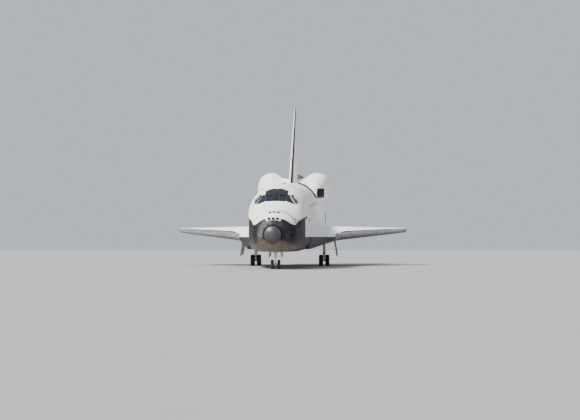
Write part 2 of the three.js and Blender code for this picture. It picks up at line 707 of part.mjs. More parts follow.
function midFuselage() {
  const { x, radius, length } = DOOR_HINGE;
  const belowSill = box(-3000, 3000, 8000, 28000, -10, SILL_Z);
  const bay = loft([BAY_FRONT, BAY_BACK + 10].map((y) => bayRing(y, BAY_RADIUS, 5000)));
  const trough = body(BAY_FRONT + SEAM, BAY_BACK).intersect(belowSill).subtract(bay);
  const fittings = knuckles(rootPlaces, length - 2 * SEAM, radius)
    .add(hingeArms(rootPlaces, 2560, x + 20, SILL_Z - 60, SILL_Z + 4));
  const relief = knuckles(hingePlaces, length + 2 * SEAM, radius + 8);
  return trough.subtract(relief).subtract(mirrored(relief)).add(fittings).add(mirrored(fittings));
}

function bayDoor() {
  const { x, radius, length } = DOOR_HINGE;
  const [y0, y1] = [BAY_FRONT + DOOR_GAP, BAY_BACK - DOOR_GAP];
  const shell = body(y0, y1).subtract(body(y0 - 10, y1 + 10, DOOR_SKIN))
    .intersect(box(DOOR_GAP / 2, 3000, y0, y1, SILL_Z + DOOR_GAP, 7000));
  const relief = knuckles(rootPlaces, length + 2 * DOOR_GAP, radius + 8);
  return shell.subtract(relief)
    .add(knuckles(hingePlaces, length - 2 * SEAM, radius))
    .add(hingeArms(hingePlaces, 2530, x + 10, SILL_Z + 8, SILL_Z + 60));
}

// Landing gear, upright in the airframe's axes

const NOSE_WHEEL = { y: 3556, radius: 406.5, width: 224, x: 279.5, rim: 230 };
const MAIN_WHEEL = { y: 23400, radius: 565, width: 406, x: 320, rim: 310 };
const MAIN_LEG_X = 3456;
const TYRE_SIDES = 24;
const AXLE_GAP = 0.7;

// Height of a wheel's axle over the belly plane at y, for a wheel that stands on the ground
function axleZ({ y, radius }) {
  return (radius - BELLY_OVER_NOSE - y * Math.sin(PARKED_PITCH)) / Math.cos(PARKED_PITCH);
}

function tyre({ radius, width, rim }) {
  const w = width / 2;
  const shoulder = rim + 0.5 * (radius - rim);
  const crown = radius / Math.cos(Math.PI / TYRE_SIDES);
  const section = [[20 - w, rim], [-w, shoulder], [-w * 0.6, crown], [w * 0.6, crown], [w, shoulder],
    [w - 20, rim], [20 - w, rim]];
  return turned(section, TYRE_SIDES).rotate([0, 0, -90]).rotate([180 / TYRE_SIDES, 0, 0]);
}

// Two dished hubs on one axle
function hubPair({ width, x, rim: seat }, axle) {
  const r = (seat - SEAM) * Math.cos(Math.PI / TYRE_SIDES);
  const w = width / 2 - 20;
  const dish = w - 70;
  const rim = [[-w, 0], [-w, r], [w, r], [w, r * 0.8]];
  const face = [...rim, [dish, r * 0.7], [dish, r * 0.4], [w, r * 0.3], [w, 0]];
  const hub = moved(turned(face, 12).rotate([0, 0, -90]), x, 0, 0);
  return joined(hub, mirrored(hub), rod(-x, x, axle));
}

// Cylinder that stands up
function upright(radius, z0, z1, sides = 16) {
  const geometry = new THREE.CylinderGeometry(radius, radius, z1 - z0, sides).rotateX(Math.PI / 2);
  return toSolid(geometry.translate(0, 0, (z0 + z1) / 2));
}

// Brace that slopes from the well's roof ahead of a leg back and down to the leg
function brace(front, top, depth, foot, half) {
  return slab([[front, top], [front + depth, top], [60, foot + depth], [60, foot], [0, foot]], -half, half);
}

const NOSE_AXLE = { z: axleZ(NOSE_WHEEL), radius: 55.3, forkTop: 620 };
const MAIN_AXLE = { z: axleZ(MAIN_WHEEL), radius: 70.3 };

function noseStrut() {
  const roof = WELL_NOSE.top - SEAM;
  const foot = NOSE_AXLE.z + NOSE_AXLE.forkTop;
  return joined(upright(95, foot + SEAM, roof), box(-60, 60, -1000, 60, roof - 120, roof),
    brace(-1000, roof - 60, 100, foot + 60, 45));
}

// Fork around the axle, made from the axle upwards
function noseFork() {
  const top = NOSE_AXLE.forkTop;
  const bore = NOSE_AXLE.radius + AXLE_GAP;
  return joined(upright(75, 0, top), box(-110, 110, -100, 100, -100, 120), upright(120, top - 60, top))
    .subtract(rod(-200, 200, bore, bore, 24));
}

function mainLeg() {
  const top = WELL_MAIN.top - SEAM;
  const { z } = MAIN_AXLE;
  const bore = MAIN_AXLE.radius + AXLE_GAP;
  const cylinder = upright(130, z + 500, top);
  const piston = upright(95, z, z + 520);
  const block = box(-95, 95, -110, 110, z - 110, z + 130);
  return joined(cylinder, piston, block, brace(-1500, top, 120, z + 640, 50))
    .subtract(moved(rod(-200, 200, bore, bore, 24), 0, 0, z));
}

// Gear doors, open, hanging by three arms from the sides of their wells
const NOSE_DOOR = { hang: 85, z: 260, height: 600, thick: 45, tilt: rad(8) };
const MAIN_DOOR = { hang: 115, z: 320, height: 1780, thick: 70, tilt: rad(10) };

function gearDoor({ hang, z, height, thick, tilt }, wall, well) {
  const x = wall - hang;
  const [dx, dz] = [Math.sin(tilt) * height, -Math.cos(tilt) * height];
  const outline = [[x, z], [x + thick, z], [x + thick + dx, z + dz], [x + dx, z + dz]];
  const [y0, y1] = [well.front + 20, well.back - 20];
  const panel = loft([y0, y1].map((y) => outline.map(([px, pz]) => V(px, y, pz))));
  const arms = [0.15, 0.5, 0.85].map((share) => {
    const y = lerp(y0, y1, share);
    return box(x + 10, wall - SEAM, y - 60, y + 60, z - 45, z);
  });
  return joined(panel, ...arms);
}

// Flight deck inside the cabin: floor with a stair opening, instrument panel and two seats

function flightDeck() {
  const space = body(CABIN.front + SEAM, CABIN.back - SEAM, SKIN + SEAM);
  const { deck, deckThick } = CABIN;
  const floor = box(-3000, 3000, CABIN.front + 100, CABIN.back - SEAM, deck, deck + deckThick)
    .subtract(box(1300, 1700, 7200, 7900, deck - 50, deck + 100));
  const foot = deck + deckThick / 2;
  const panel = slab([[4700, foot], [4420, 4050], [4700, 4230], [4950, 4150], [4950, foot]], -1350, 1350);
  return space.intersect(floor.add(panel));
}

const SEAT = { x: 650, half: 260 };

function seat() {
  const foot = CABIN.deck + CABIN.deckThick + SEAM;
  const side = [
    [5350, foot], [5350, 3700], [5300, 3760], [5320, 3850], [5750, 3850], [5830, 4560], [5960, 4560],
    [5900, 3700], [5850, foot],
  ];
  return slab(side, SEAT.x - SEAT.half, SEAT.x + SEAT.half);
}

// Assembly

// Columns: colour, roughness, metalness
const PAINT = {
  white: [0xe9e8e4, 0.6, 0],
  black: [0x1c1d20, 0.7, 0],
  grey: [0x6f7173, 0.55, 0],
  carbon: [0x55585b, 0.5, 0],
  glass: [0x16203a, 0.1, 0],
  silver: [0xb9bcc0, 0.3, 0.8],
  rubber: [0x1b1b1b, 0.85, 0],
  cloth: [0x5b6a58, 0.8, 0],
  bell: [0x6d6a66, 0.4, 0.6],
};
const SIDES = [['port', 1], ['starboard', -1]];

const craft = new THREE.Group();
craft.name = 'orbiter';
const airframe = new THREE.Group();
airframe.rotation.x = PARKED_PITCH;
craft.add(airframe);
craft.updateMatrixWorld(true);

// Adds a solid that is given in the frame of its parent
function add(name, solid, finish, parent = airframe) {
  const [color, roughness, metalness] = PAINT[finish];
  const material = new THREE.MeshStandardMaterial({ color, roughness, metalness });
  const mesh = new THREE.Mesh(toGeometry(solid), material);
  mesh.name = name;
  parent.add(mesh);
  return mesh;
}

// Adds a solid that is given in airframe axes to a group with a frame of its own
function addInPlace(name, solid, finish, group) {
  group.updateWorldMatrix(true, false);
  const toLocal = group.matrixWorld.clone().invert().multiply(airframe.matrixWorld);
  add(name, solid, finish, group).geometry.applyMatrix4(toLocal);
}

// Frame at a place, from its x and y axes
function frameAt(place, xAxis, yAxis) {
  const zAxis = V(0, 0, 0).crossVectors(xAxis, yAxis);
  return new THREE.Matrix4().makeBasis(xAxis, yAxis, zAxis).setPosition(place);
}

// A turning joint: a group at its pivot, with the joint's axis as its x axis
function pivot(name, frame, parent = airframe) {
  const group = new THREE.Group();
  group.name = name;
  frame.decompose(group.position, group.quaternion, group.scale);
  parent.add(group);
  return group;
}

const ACROSS = V(1, 0, 0);
const AFT = V(0, 1, 0);
const UP = V(0, 0, 1);
const ORIGIN = V(0, 0, 0);
const onSide = (solid, side) => (side > 0 ? solid : mirrored(solid));

add('nose_cap', body(0, CAP_END), 'carbon');
add('forward_fuselage', forwardFuselage(), 'white');

const layer = paneLayer();
windshieldPrisms(PANE.gap).forEach((prism, i) => {
  add(`windshield_pane_${i + 1}`, prism.intersect(layer), 'glass');
});
for (const [label, side] of SIDES) {
  add(`overhead_pane_${label}`, onSide(overheadPrism(PANE.gap).intersect(layer), side), 'glass');
}
add('flight_deck', flightDeck(), 'grey');
for (const [label, side] of SIDES) add(`seat_${label}`, onSide(seat(), side), 'cloth');

add('mid_fuselage', midFuselage(), 'white');
add('aft_fuselage', aftFuselage(), 'white');
add('base_heat_shield', baseShield(), 'black');

// Payload bay doors, which swing up and outwards for positive angles
const door = bayDoor();
for (const [label, side] of SIDES) {
  const hinge = V(side * DOOR_HINGE.x, BAY_FRONT, DOOR_HINGE.z);
  const group = pivot(`payload_door_${label}_hinge`, frameAt(hinge, V(0, side, 0), V(-side, 0, 0)));
  addInPlace(`payload_door_${label}`, onSide(door, side), 'white', group);
}

// Crew hatch, hinged at its lower edge, which opens outwards for positive angles
const hatchPlace = V(HATCH_HINGE.x, HATCH.y, HATCH_HINGE.z);
const hatchGroup = pivot('side_hatch_hinge', frameAt(hatchPlace, AFT, V(-1, 0, 0)));
const hatchSkin = body(4000, 8000, 4).subtract(body(3990, 8010, SKIN - 10));
const hatch = hatchPlug(HATCH.radius).intersect(hatchSkin)
  .subtract(hatchPlug(HATCH.pane))
  .add(hatchKnuckle());
addInPlace('side_hatch', hatch, 'white', hatchGroup);
addInPlace('hatch_pane', hatchPlug(HATCH.pane - SEAM).intersect(layer), 'glass', hatchGroup);

// Wings with their leading edges and elevons, whose back edges rise for positive angles
const wing = wholeWing();
const hingeScale = hingeLineFrame.length / (WING.elevonOut - WING.elevonIn);
const ELEVONS = [
  ['inboard', WING.elevonIn, WING.elevonMid - 10],
  ['outboard', WING.elevonMid + 10, WING.elevonOut],
];
const lugs = [];
const elevons = ELEVONS.map(([label, x0, x1]) => {
  let solid = elevon(x0, x1);
  for (const share of [0.2, 0.8]) {
    const x = lerp(x0, x1, share);
    const { lug, slot } = lugAndSlot((x - WING.elevonIn) * hingeScale, 80, hingeHalf(x));
    lugs.push(onHingeLine(lug));
    solid = solid.subtract(slot);
  }
  return [label, onHingeLine(solid)];
});
const mainWell = box(WELL_MAIN.x0, WELL_MAIN.x1, WELL_MAIN.front, WELL_MAIN.back, -1000, WELL_MAIN.top);
const wingBox = joined(wing.subtract(edgeZone((x) => edgeDepth(x) + SEAM)), ...lugs).subtract(mainWell);
const wingEdge = wing.intersect(edgeZone(edgeDepth));
for (const [label, side] of SIDES) {
  add(`wing_${label}`, onSide(wingBox, side), 'white');
  add(`wing_leading_edge_${label}`, onSide(wingEdge, side), 'carbon');
  const { start, angle } = hingeLineFrame;
  const hingeAxis = V(Math.cos(angle), 0, side * Math.sin(angle));
  const frame = frameAt(V(side * start.x, start.y, start.z), hingeAxis, AFT);
  for (const [span, solid] of elevons) {
    const group = pivot(`elevon_${span}_${label}_hinge`, frame);
    addInPlace(`elevon_${span}_${label}`, onSide(solid, side), 'white', group);
  }
}

// Fin with the rudder, whose two halves open outwards as a speed brake for positive angles
add('fin', fin(), 'white');
const rudderGroup = pivot('rudder_hinge', rudderMatrix());
add('rudder_tube', rudderTube(), 'grey', rudderGroup);
for (const [label, side] of SIDES) {
  const group = pivot(`speed_brake_${label}_hinge`, frameAt(ORIGIN, V(-side, 0, 0), AFT), rudderGroup);
  addInPlace(`rudder_half_${label}`, onSide(rudderPanel(), -side), 'white', group);
}

add('body_flap', bodyFlap(), 'black', pivot('body_flap_hinge', frameAt(V(0, FLAP.y, FLAP.z), ACROSS, AFT)));

for (const { name, x, y, z, pitch } of ENGINES) {
  const group = pivot(`main_engine_${name}_gimbal`, frameAt(V(x, y, z), ACROSS, AFT));
  add(`main_engine_${name}`, mainEngine().rotate([THREE.MathUtils.radToDeg(pitch), 0, 0]), 'bell', group);
}
for (const [label, side] of SIDES) {
  add(`oms_pod_${label}`, onSide(pod(), side), 'white');
  const group = pivot(`oms_engine_${label}_gimbal`, frameAt(V(side * OMS.x, OMS.y, OMS.z), ACROSS, AFT));
  add(`oms_engine_${label}`, omsEngine().rotate([THREE.MathUtils.radToDeg(OMS.pitch), 0, 0]), 'bell', group);
}

// A wheel's tyre stands with one of its flats on the ground
function addTyre(name, wheel, side, parent) {
  const mesh = add(name, tyre(wheel), 'rubber', parent);
  mesh.position.x = side * wheel.x;
  mesh.rotation.x = -PARKED_PITCH;
}

// Nose gear, steered about its leg
add('nose_gear_strut', moved(noseStrut(), 0, NOSE_WHEEL.y, 0), 'white');
const nosePlace = V(0, NOSE_WHEEL.y, NOSE_AXLE.z);
const steering = pivot('nose_gear_steering', frameAt(nosePlace, UP, AFT));
addInPlace('nose_gear_fork', moved(noseFork(), 0, NOSE_WHEEL.y, NOSE_AXLE.z), 'white', steering);
const noseSpin = pivot('nose_wheels_spin', frameAt(ORIGIN, UP, AFT).invert(), steering);
add('nose_hubs', hubPair(NOSE_WHEEL, NOSE_AXLE.radius), 'silver', noseSpin);
for (const [label, side] of SIDES) addTyre(`nose_tyre_${label}`, NOSE_WHEEL, side, noseSpin);

for (const [label, side] of SIDES) {
  const x = side * MAIN_LEG_X;
  add(`main_gear_strut_${label}`, moved(mainLeg(), x, MAIN_WHEEL.y, 0), 'white');
  const spin = pivot(`main_wheels_${label}_spin`, frameAt(V(x, MAIN_WHEEL.y, MAIN_AXLE.z), ACROSS, AFT));
  add(`main_hubs_${label}`, hubPair(MAIN_WHEEL, MAIN_AXLE.radius), 'silver', spin);
  addTyre(`main_tyre_inner_${label}`, MAIN_WHEEL, -side, spin);
  addTyre(`main_tyre_outer_${label}`, MAIN_WHEEL, side, spin);
}
for (const [label, side] of SIDES) {
  add(`nose_gear_door_${label}`, onSide(gearDoor(NOSE_DOOR, WELL_NOSE.half, WELL_NOSE), side), 'white');
  add(`main_gear_door_${label}`, onSide(gearDoor(MAIN_DOOR, WELL_MAIN.x1, WELL_MAIN), side), 'white');
}

// Stand the craft on the ground with the origin below the middle of its box
craft.updateMatrixWorld(true);
const span = new THREE.Box3().setFromObject(craft, true);
airframe.position.set(0, -(span.min.y + span.max.y) / 2, -span.min.z);
craft.updateMatrixWorld(true);

export default craft;
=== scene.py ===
"""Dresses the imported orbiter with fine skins, tiles, windows, engines and landing gear. Metres."""

import math

import bmesh
import bpy
import numpy as np
from mathutils import Matrix, Vector


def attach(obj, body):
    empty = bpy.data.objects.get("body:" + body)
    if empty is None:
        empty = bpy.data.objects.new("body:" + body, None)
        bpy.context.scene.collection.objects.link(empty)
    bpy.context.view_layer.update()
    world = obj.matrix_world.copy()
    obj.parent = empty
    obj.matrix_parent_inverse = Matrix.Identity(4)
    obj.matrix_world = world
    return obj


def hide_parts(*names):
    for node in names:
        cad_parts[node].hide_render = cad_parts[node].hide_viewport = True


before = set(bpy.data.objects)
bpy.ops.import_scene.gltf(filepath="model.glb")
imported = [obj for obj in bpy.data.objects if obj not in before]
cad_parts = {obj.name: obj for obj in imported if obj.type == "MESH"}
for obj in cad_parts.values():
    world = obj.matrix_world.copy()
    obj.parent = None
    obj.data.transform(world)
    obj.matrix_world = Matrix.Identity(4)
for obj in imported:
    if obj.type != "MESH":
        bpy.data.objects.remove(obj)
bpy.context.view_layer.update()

# Airframe axes: x to port, y aft of the nose tip, z above the flat belly. ROW puts them in the row's frame.
PITCH = math.radians(3.5)
ORIGIN = Vector((0, -18.0574, 1.1))
ROW = Matrix.Translation(ORIGIN) @ Matrix.Rotation(PITCH, 4, "X")

CAP_LENGTH = 0.262
BAY_FRONT, BAY_BACK = 8.738, 27.153
SILL = 3.76
BAY_RADIUS, BAY_AXIS = 2.286, 3.378
DOOR_SKIN, CABIN_SKIN = 0.09, 0.15
HAIR = 0.0003  # clearance between neighbours that would otherwise share a face
BODY_HALF = 2.667
WING_EDGE = 15.342  # the wing's front edge lies this much aft of x
FIN_ROOT, FIN_FRONT, FIN_BACK = 5.918, 26.467, 33.282

# Columns: y, half width, bottom, widest height, top, power of the lower half, power of the upper half
SECTIONS = [
    [0, 0.001, 1.726, 1.727, 1.728, 2, 2],
    [0.025, 0.215, 1.5, 1.727, 1.955, 2, 2],
    [0.1, 0.44, 1.27, 1.727, 2.19, 2, 2],
    [0.3, 0.735, 0.99, 1.735, 2.48, 2, 2],
    [0.7, 1.01, 0.76, 1.75, 2.79, 2.2, 2],
    [1.575, 1.422, 0.42, 1.79, 3.28, 2.6, 2],
    [2.5, 1.83, 0.23, 1.95, 3.7, 3.2, 2],
    [3.5, 2.1, 0.15, 2.25, 4.08, 4, 2.05],
    [3.95, 2.21, 0.115, 2.45, 4.33, 4.6, 2.15],
    [4.3, 2.27, 0.09, 2.62, 4.57, 5, 2.22],
    [4.8, 2.35, 0.06, 2.8, 4.95, 5.5, 2.3],
    [5.4, 2.44, 0.03, 2.9, 5.18, 6, 2.3],
    [6.655, 2.565, 0.005, 3.05, 5.48, 7.5, 2.15],
    [7.7, 2.63, 0, 3.15, 5.68, 8.5, 2.05],
    [8.738, 2.667, 0, 3.198, 5.8, 9, 2],
    [27.153, 2.667, 0, 3.198, 5.8, 9, 2],
    [29, 3.08, 0.02, 3.3, 5.78, 9, 2.5],
    [30.5, 3.33, 0.07, 3.4, 5.74, 9, 2.9],
    [33, 3.353, 0.2, 3.4, 5.6, 9, 2.9],
]


def lerp(a, b, t):
    return a + (b - a) * t


def smooth_table(rows):
    """Cubic curves through the columns of a table along its first one, which never overshoot."""
    rows = np.array(rows, float)
    t, v = rows[:, 0], rows[:, 1:]
    h = np.diff(t)[:, None]
    slope = np.diff(v, axis=0) / h
    grad = np.zeros_like(v)
    w0, w1 = 2 * h[1:] + h[:-1], h[1:] + 2 * h[:-1]
    same = slope[:-1] * slope[1:] > 0
    safe = np.where(same, slope[:-1], 1), np.where(same, slope[1:], 1)
    grad[1:-1] = np.where(same, (w0 + w1) / (w0 / safe[0] + w1 / safe[1]), 0)
    grad[0], grad[-1] = slope[0], slope[-1]

    def at(x):
        i = int(np.clip(np.searchsorted(t, x) - 1, 0, len(t) - 2))
        s = (x - t[i]) / h[i, 0]
        ends = v[i] * (1 + 2 * s) * (1 - s) ** 2 + v[i + 1] * s * s * (3 - 2 * s)
        return ends + h[i, 0] * (grad[i] * s * (1 - s) ** 2 + grad[i + 1] * s * s * (s - 1))

    return at


_hull = smooth_table([[math.sqrt(row[0]), *row[1:]] for row in SECTIONS])


def hull(y):
    return _hull(math.sqrt(max(y, 0)))


def evenly(x, z, count):
    """The same curve with its points evenly spread."""
    run = np.concatenate([[0], np.cumsum(np.hypot(np.diff(x), np.diff(z)))])
    even = np.linspace(0, run[-1], count)
    return np.interp(even, run, x), np.interp(even, run, z)


def half_ring(half, bottom, side, top, lower, upper, count):
    """Port half of a rounded section, from the bottom up, with its points evenly spread."""
    a = np.linspace(-math.pi / 2, math.pi / 2, 400)
    power = np.where(a < 0, 2 / lower, 2 / upper)
    c, s = np.cos(a).clip(0), np.sin(a)
    height = np.where(a < 0, side - bottom, top - side)
    return evenly(half * c**power, side + height * np.sign(s) * np.abs(s) ** power, count)


def hull_ring(y, inset=0.0, count=49, floor=-9.0):
    half, bottom, side, top, lower, upper = hull(y)
    x, z = half_ring(half - inset, bottom + inset, side, top - inset, lower, upper, count)
    port = [(px, y, max(pz, floor)) for px, pz in zip(x, z)]
    return port + [(-px, y, pz) for px, _, pz in port[-2:0:-1]]


def hull_reach(x, y, z):
    """Below 1 inside the hull and above 1 outside it."""
    half, bottom, side, top, lower, upper = hull(y)
    power = lower if z < side else upper
    height = side - bottom if z < side else top - side
    return (abs(x) / half) ** power + (abs(z - side) / height) ** power


def hull_normal(p):
    step = 0.01
    x, y, z = p
    grad = Vector((
        hull_reach(x + step, y, z) - hull_reach(x - step, y, z),
        hull_reach(x, y + step, z) - hull_reach(x, y - step, z),
        hull_reach(x, y, z + step) - hull_reach(x, y, z - step),
    ))
    return grad.normalized()


def bisect(low, high, inside):
    for _ in range(40):
        middle = (low + high) / 2
        if inside(middle):
            high = middle
        else:
            low = middle
    return high


def from_ahead(x, z):
    """Point of the skin at x, z as seen from ahead."""
    return Vector((x, bisect(0.05, BAY_FRONT, lambda y: hull_reach(x, y, z) < 1), z))


def from_side(y, z, side=1):
    return Vector((side * bisect(4, 0, lambda x: hull_reach(x, y, z) < 1), y, z))


def from_above(x, y):
    return Vector((x, y, bisect(7, 3, lambda z: hull_reach(x, y, z) < 1)))


def facing(place, direction, roll=(0, 0, 1)):
    """Frame at a place with its z axis along direction, and its y axis towards roll."""
    z = Vector(direction).normalized()
    y = Vector(roll)
    if abs(y.normalized().dot(z)) > 0.98:
        y = Vector((0, 1, 0))
    x = y.cross(z).normalized()
    y = z.cross(x)
    m = Matrix((x, y, z)).transposed().to_4x4()
    m.translation = Vector(place)
    return m


class Shape:
    """Points and faces gathered for one piece, in airframe axes."""

    def __init__(self):
        self.points, self.faces = [], []

    def add(self, points, faces, place=None):
        start = len(self.points)
        points = [Vector(p) for p in points]
        if place is not None:
            points = [place @ p for p in points]
        self.points += [tuple(p) for p in points]
        self.faces += [tuple(start + i for i in face) for face in faces]
        return self

    def join(self, other, place=None):
        return self.add(other.points, other.faces, place)

    def loft(self, rings, place=None, caps=True, wrap=False):
        """Skin over closed rings, with flat ends, or joined end to end."""
        n, count = len(rings[0]), len(rings)
        last = count if wrap else count - 1
        faces = []
        for r in range(last):
            a, b = r * n, ((r + 1) % count) * n
            faces += [(a + i, a + (i + 1) % n, b + (i + 1) % n, b + i) for i in range(n)]
        if caps and not wrap:
            faces += [tuple(range(n))[::-1], tuple(range((count - 1) * n, count * n))]
        return self.add([p for ring in rings for p in ring], faces, place)

    def sheet(self, rows):
        """Open skin over rows of points."""
        n = len(rows[0])
        faces = []
        for r in range(len(rows) - 1):
            a, b = r * n, (r + 1) * n
            faces += [(a + i, a + i + 1, b + i + 1, b + i) for i in range(n - 1)]
        return self.add([p for row in rows for p in row], faces)

    def turned(self, profile, place=None, sides=32, wrap=False):
        """Profile of (distance along z, radius) turned about z."""
        angles = [2 * math.pi * i / sides for i in range(sides)]
        rings = [[(r * math.cos(a), r * math.sin(a), z) for a in angles] for z, r in profile]
        return self.loft(rings, place, wrap=wrap)

    def rod(self, start, end, radius, end_radius=None, sides=20, edge=0.006):
        """Round bar between two points, with softened ends."""
        start, end = Vector(start), Vector(end)
        r0, r1 = radius, radius if end_radius is None else end_radius
        length = (end - start).length
        e = min(edge, length / 4, r0 / 3, r1 / 3)
        profile = [(0, 0), (0, r0 - e), (e, r0), (length - e, r1), (length, r1 - e), (length, 0)]
        return self.turned(profile, facing(start, end - start), sides)

    def tube(self, path, radius, sides=10):
        """Pipe or hose along a smoothed path."""
        path = [Vector(p) for p in path]
        for _ in range(2):
            cut = [lerp(a, b, t) for a, b in zip(path, path[1:]) for t in (0.25, 0.75)]
            path = [path[0], *cut, path[-1]]
        rings = []
        for i, p in enumerate(path):
            ahead = path[min(i + 1, len(path) - 1)] - path[max(i - 1, 0)]
            m = facing(p, ahead, (0.31, 0.4, 0.86))
            angles = [2 * math.pi * k / sides for k in range(sides)]
            rings.append([m @ Vector((radius * math.cos(a), radius * math.sin(a), 0)) for a in angles])
        return self.loft(rings)

    def pin(self, at, y0, y1, radius, **more):
        """Round bar along y at (x, z)."""
        return self.rod((at[0], y0, at[1]), (at[0], y1, at[1]), radius, **more)

    def box(self, low, high, edge=0.01, place=None):
        """Box with chamfered edges, the convex solid around three points at each corner."""
        low, high = Vector(low), Vector(high)
        e = min(edge, *((high - low) / 3))
        work = bmesh.new()
        for corner in range(8):
            p = [(high, low)[corner >> k & 1][k] for k in range(3)]
            inward = [(-1, 1)[corner >> k & 1] * e for k in range(3)]
            for flat in range(3):
                work.verts.new([p[k] + (inward[k] if k != flat else 0) for k in range(3)])
        bmesh.ops.convex_hull(work, input=work.verts)
        bmesh.ops.delete(work, geom=[v for v in work.verts if not v.link_faces], context="VERTS")
        bmesh.ops.dissolve_limit(work, angle_limit=0.01, verts=work.verts, edges=work.edges)
        work.verts.index_update()
        points, faces = [v.co.copy() for v in work.verts], [[v.index for v in f.verts] for f in work.faces]
        work.free()
        return self.add(points, faces, place)

    def mirror(self):
        made = Shape()
        return made.add([(-x, y, z) for x, y, z in self.points], [f[::-1] for f in self.faces])

    def both(self):
        """This shape together with its mirror image."""
        return Shape().join(self).join(self.mirror())


def signed_power(value, power):
    return math.copysign(abs(value) ** power, value)


# Section of a cushion from the middle of its underside to the middle of its top: share of its plan and of its depth
WELT = 1.03
CUSHION = [
    (0.2, -0.7), (0.5, -0.72), (0.8, -0.74), (0.92, -0.7), (0.985, -0.55), (1.0, -0.3), (1.0, -0.1), (1.012, -0.05),
    (WELT, 0.0), (1.012, 0.05), (1.0, 0.1), (0.985, 0.3), (0.95, 0.46),
]
CROWN = (0.9, 0.82, 0.74, 0.66, 0.58, 0.5, 0.42, 0.34, 0.26, 0.18, 0.1, 0.04)
CUSHION += [(share, 0.5 + 0.5 * (1 - share**2.2)) for share in CROWN]
CUSHION_SIDES, SQUARENESS = 96, 0.36
SEAM_DEPTH, SEAM_WIDTH = 0.16, 0.045


def cushion(low, high, axes=(0, 1, 2), crown=1, channels=(-0.36, 0.0, 0.36)):
    """Crowned cushion: sides pulled in between the corners, a welt round the middle, channels sewn across."""
    low, high = Vector(low), Vector(high)
    middle, half = (low + high) / 2, (high - low) / 2
    rings = []
    for share, rise in CUSHION:
        ring = []
        for k in range(CUSHION_SIDES):
            a = 2 * math.pi * k / CUSHION_SIDES
            size = share / WELT * (1 - 0.06 * math.cos(2 * a) ** 2)
            u = size * signed_power(math.cos(a), SQUARENESS)
            v = size * signed_power(math.sin(a), SQUARENESS)
            sewn = sum(SEAM_DEPTH * math.exp(-(((v - at) / SEAM_WIDTH) ** 2)) for at in channels) if rise > 0.2 else 0
            p = middle.copy()
            for axis, value in zip(axes, (u, v, crown * (rise - sewn))):
                p[axis] += value * half[axis]
            ring.append(p)
        rings.append(ring)
    return Shape().loft(rings)


def bare_object(name, shape):
    mesh = bpy.data.meshes.new(name)
    mesh.from_pydata(shape.points, [], shape.faces)
    work = bmesh.new()
    work.from_mesh(mesh)
    bmesh.ops.remove_doubles(work, verts=work.verts, dist=2e-5)
    bmesh.ops.dissolve_degenerate(work, dist=1e-6, edges=work.edges)
    bmesh.ops.recalc_face_normals(work, faces=work.faces)
    work.to_mesh(mesh)
    work.free()
    obj = bpy.data.objects.new(name, mesh)
    bpy.context.scene.collection.objects.link(obj)
    return obj


def carve(obj, shapes, operation="DIFFERENCE"):
    """Cuts closed shapes out of an object, or keeps what lies inside one."""
    for shape in shapes:
        cutter = bare_object("cutter", shape)
        change = obj.modifiers.new("cut", "BOOLEAN")
        change.operation, change.solver, change.object = operation, "EXACT", cutter
        made = bpy.data.meshes.new_from_object(obj.evaluated_get(bpy.context.evaluated_depsgraph_get()))
        obj.modifiers.clear()
        old, obj.data = obj.data, made
        bpy.data.meshes.remove(old)
        bpy.data.objects.remove(cutter)


def piece(name, shape, finish, slot, body="airframe", stands_for=(), cuts=(), sharp=34):
    """Makes a shape into a piece that rides on a body of the frame."""
    obj = bare_object(name, shape)
    carve(obj, cuts)
    mesh = obj.data
    mesh.name = name
    mesh.transform(ROW)
    mesh.materials.clear()
    mesh.materials.append(finish)
    mesh.shade_smooth()
    mesh.set_sharp_from_angle(angle=math.radians(sharp))
    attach(obj, body)
    if stands_for:
        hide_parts(*stands_for)
    return obj


# Materials


class Num:
    """A number in a material's node tree, which takes part in sums."""

    def __init__(self, graph, socket):
        self.graph, self.socket = graph, socket

    def do(self, kind, *others):
        node = self.graph.node("ShaderNodeMath", operation=kind)
        for value, socket in zip([self, *others], node.inputs):
            self.graph.put(value, socket)
        return Num(self.graph, node.outputs[0])

    def __abs__(self):
        return self.do("ABSOLUTE")

    def __neg__(self):
        """One minus this mask."""
        return self.do("MULTIPLY", -1.0).do("ADD", 1.0)

    def line(self, size, width):
        """Mask of the lines at multiples of size."""
        return self.do("PINGPONG", size / 2) < width / 2

    def ramp(self, low, high, start=0.0, end=1.0):
        node = self.graph.node("ShaderNodeMapRange")
        for value, socket in zip([self, low, high, start, end], node.inputs):
            self.graph.put(value, socket)
        return Num(self.graph, node.outputs[0])

    def curve(self, rows):
        """Value read from a short table of (this number, value) rows."""
        x0, x1 = rows[0][0], rows[-1][0]
        most = max(value for _, value in rows)
        node = self.graph.node("ShaderNodeValToRGB")
        stops = node.color_ramp.elements
        while len(stops) < len(rows):
            stops.new(0.5)
        for stop, (x, value) in zip(stops, rows):
            stop.position = (x - x0) / (x1 - x0)
            stop.color = (value / most, value / most, value / most, 1)
        self.graph.put(self.ramp(x0, x1), node.inputs[0])
        return Num(self.graph, node.outputs[0]) * most


# Signs between two numbers, and the math node that each one makes
OPERATORS = {"add": "ADD", "sub": "SUBTRACT", "mul": "MULTIPLY", "or": "MAXIMUM", "lt": "LESS_THAN",
             "gt": "GREATER_THAN"}
for sign, operation in OPERATORS.items():
    setattr(Num, f"__{sign}__", lambda self, other, operation=operation: self.do(operation, other))


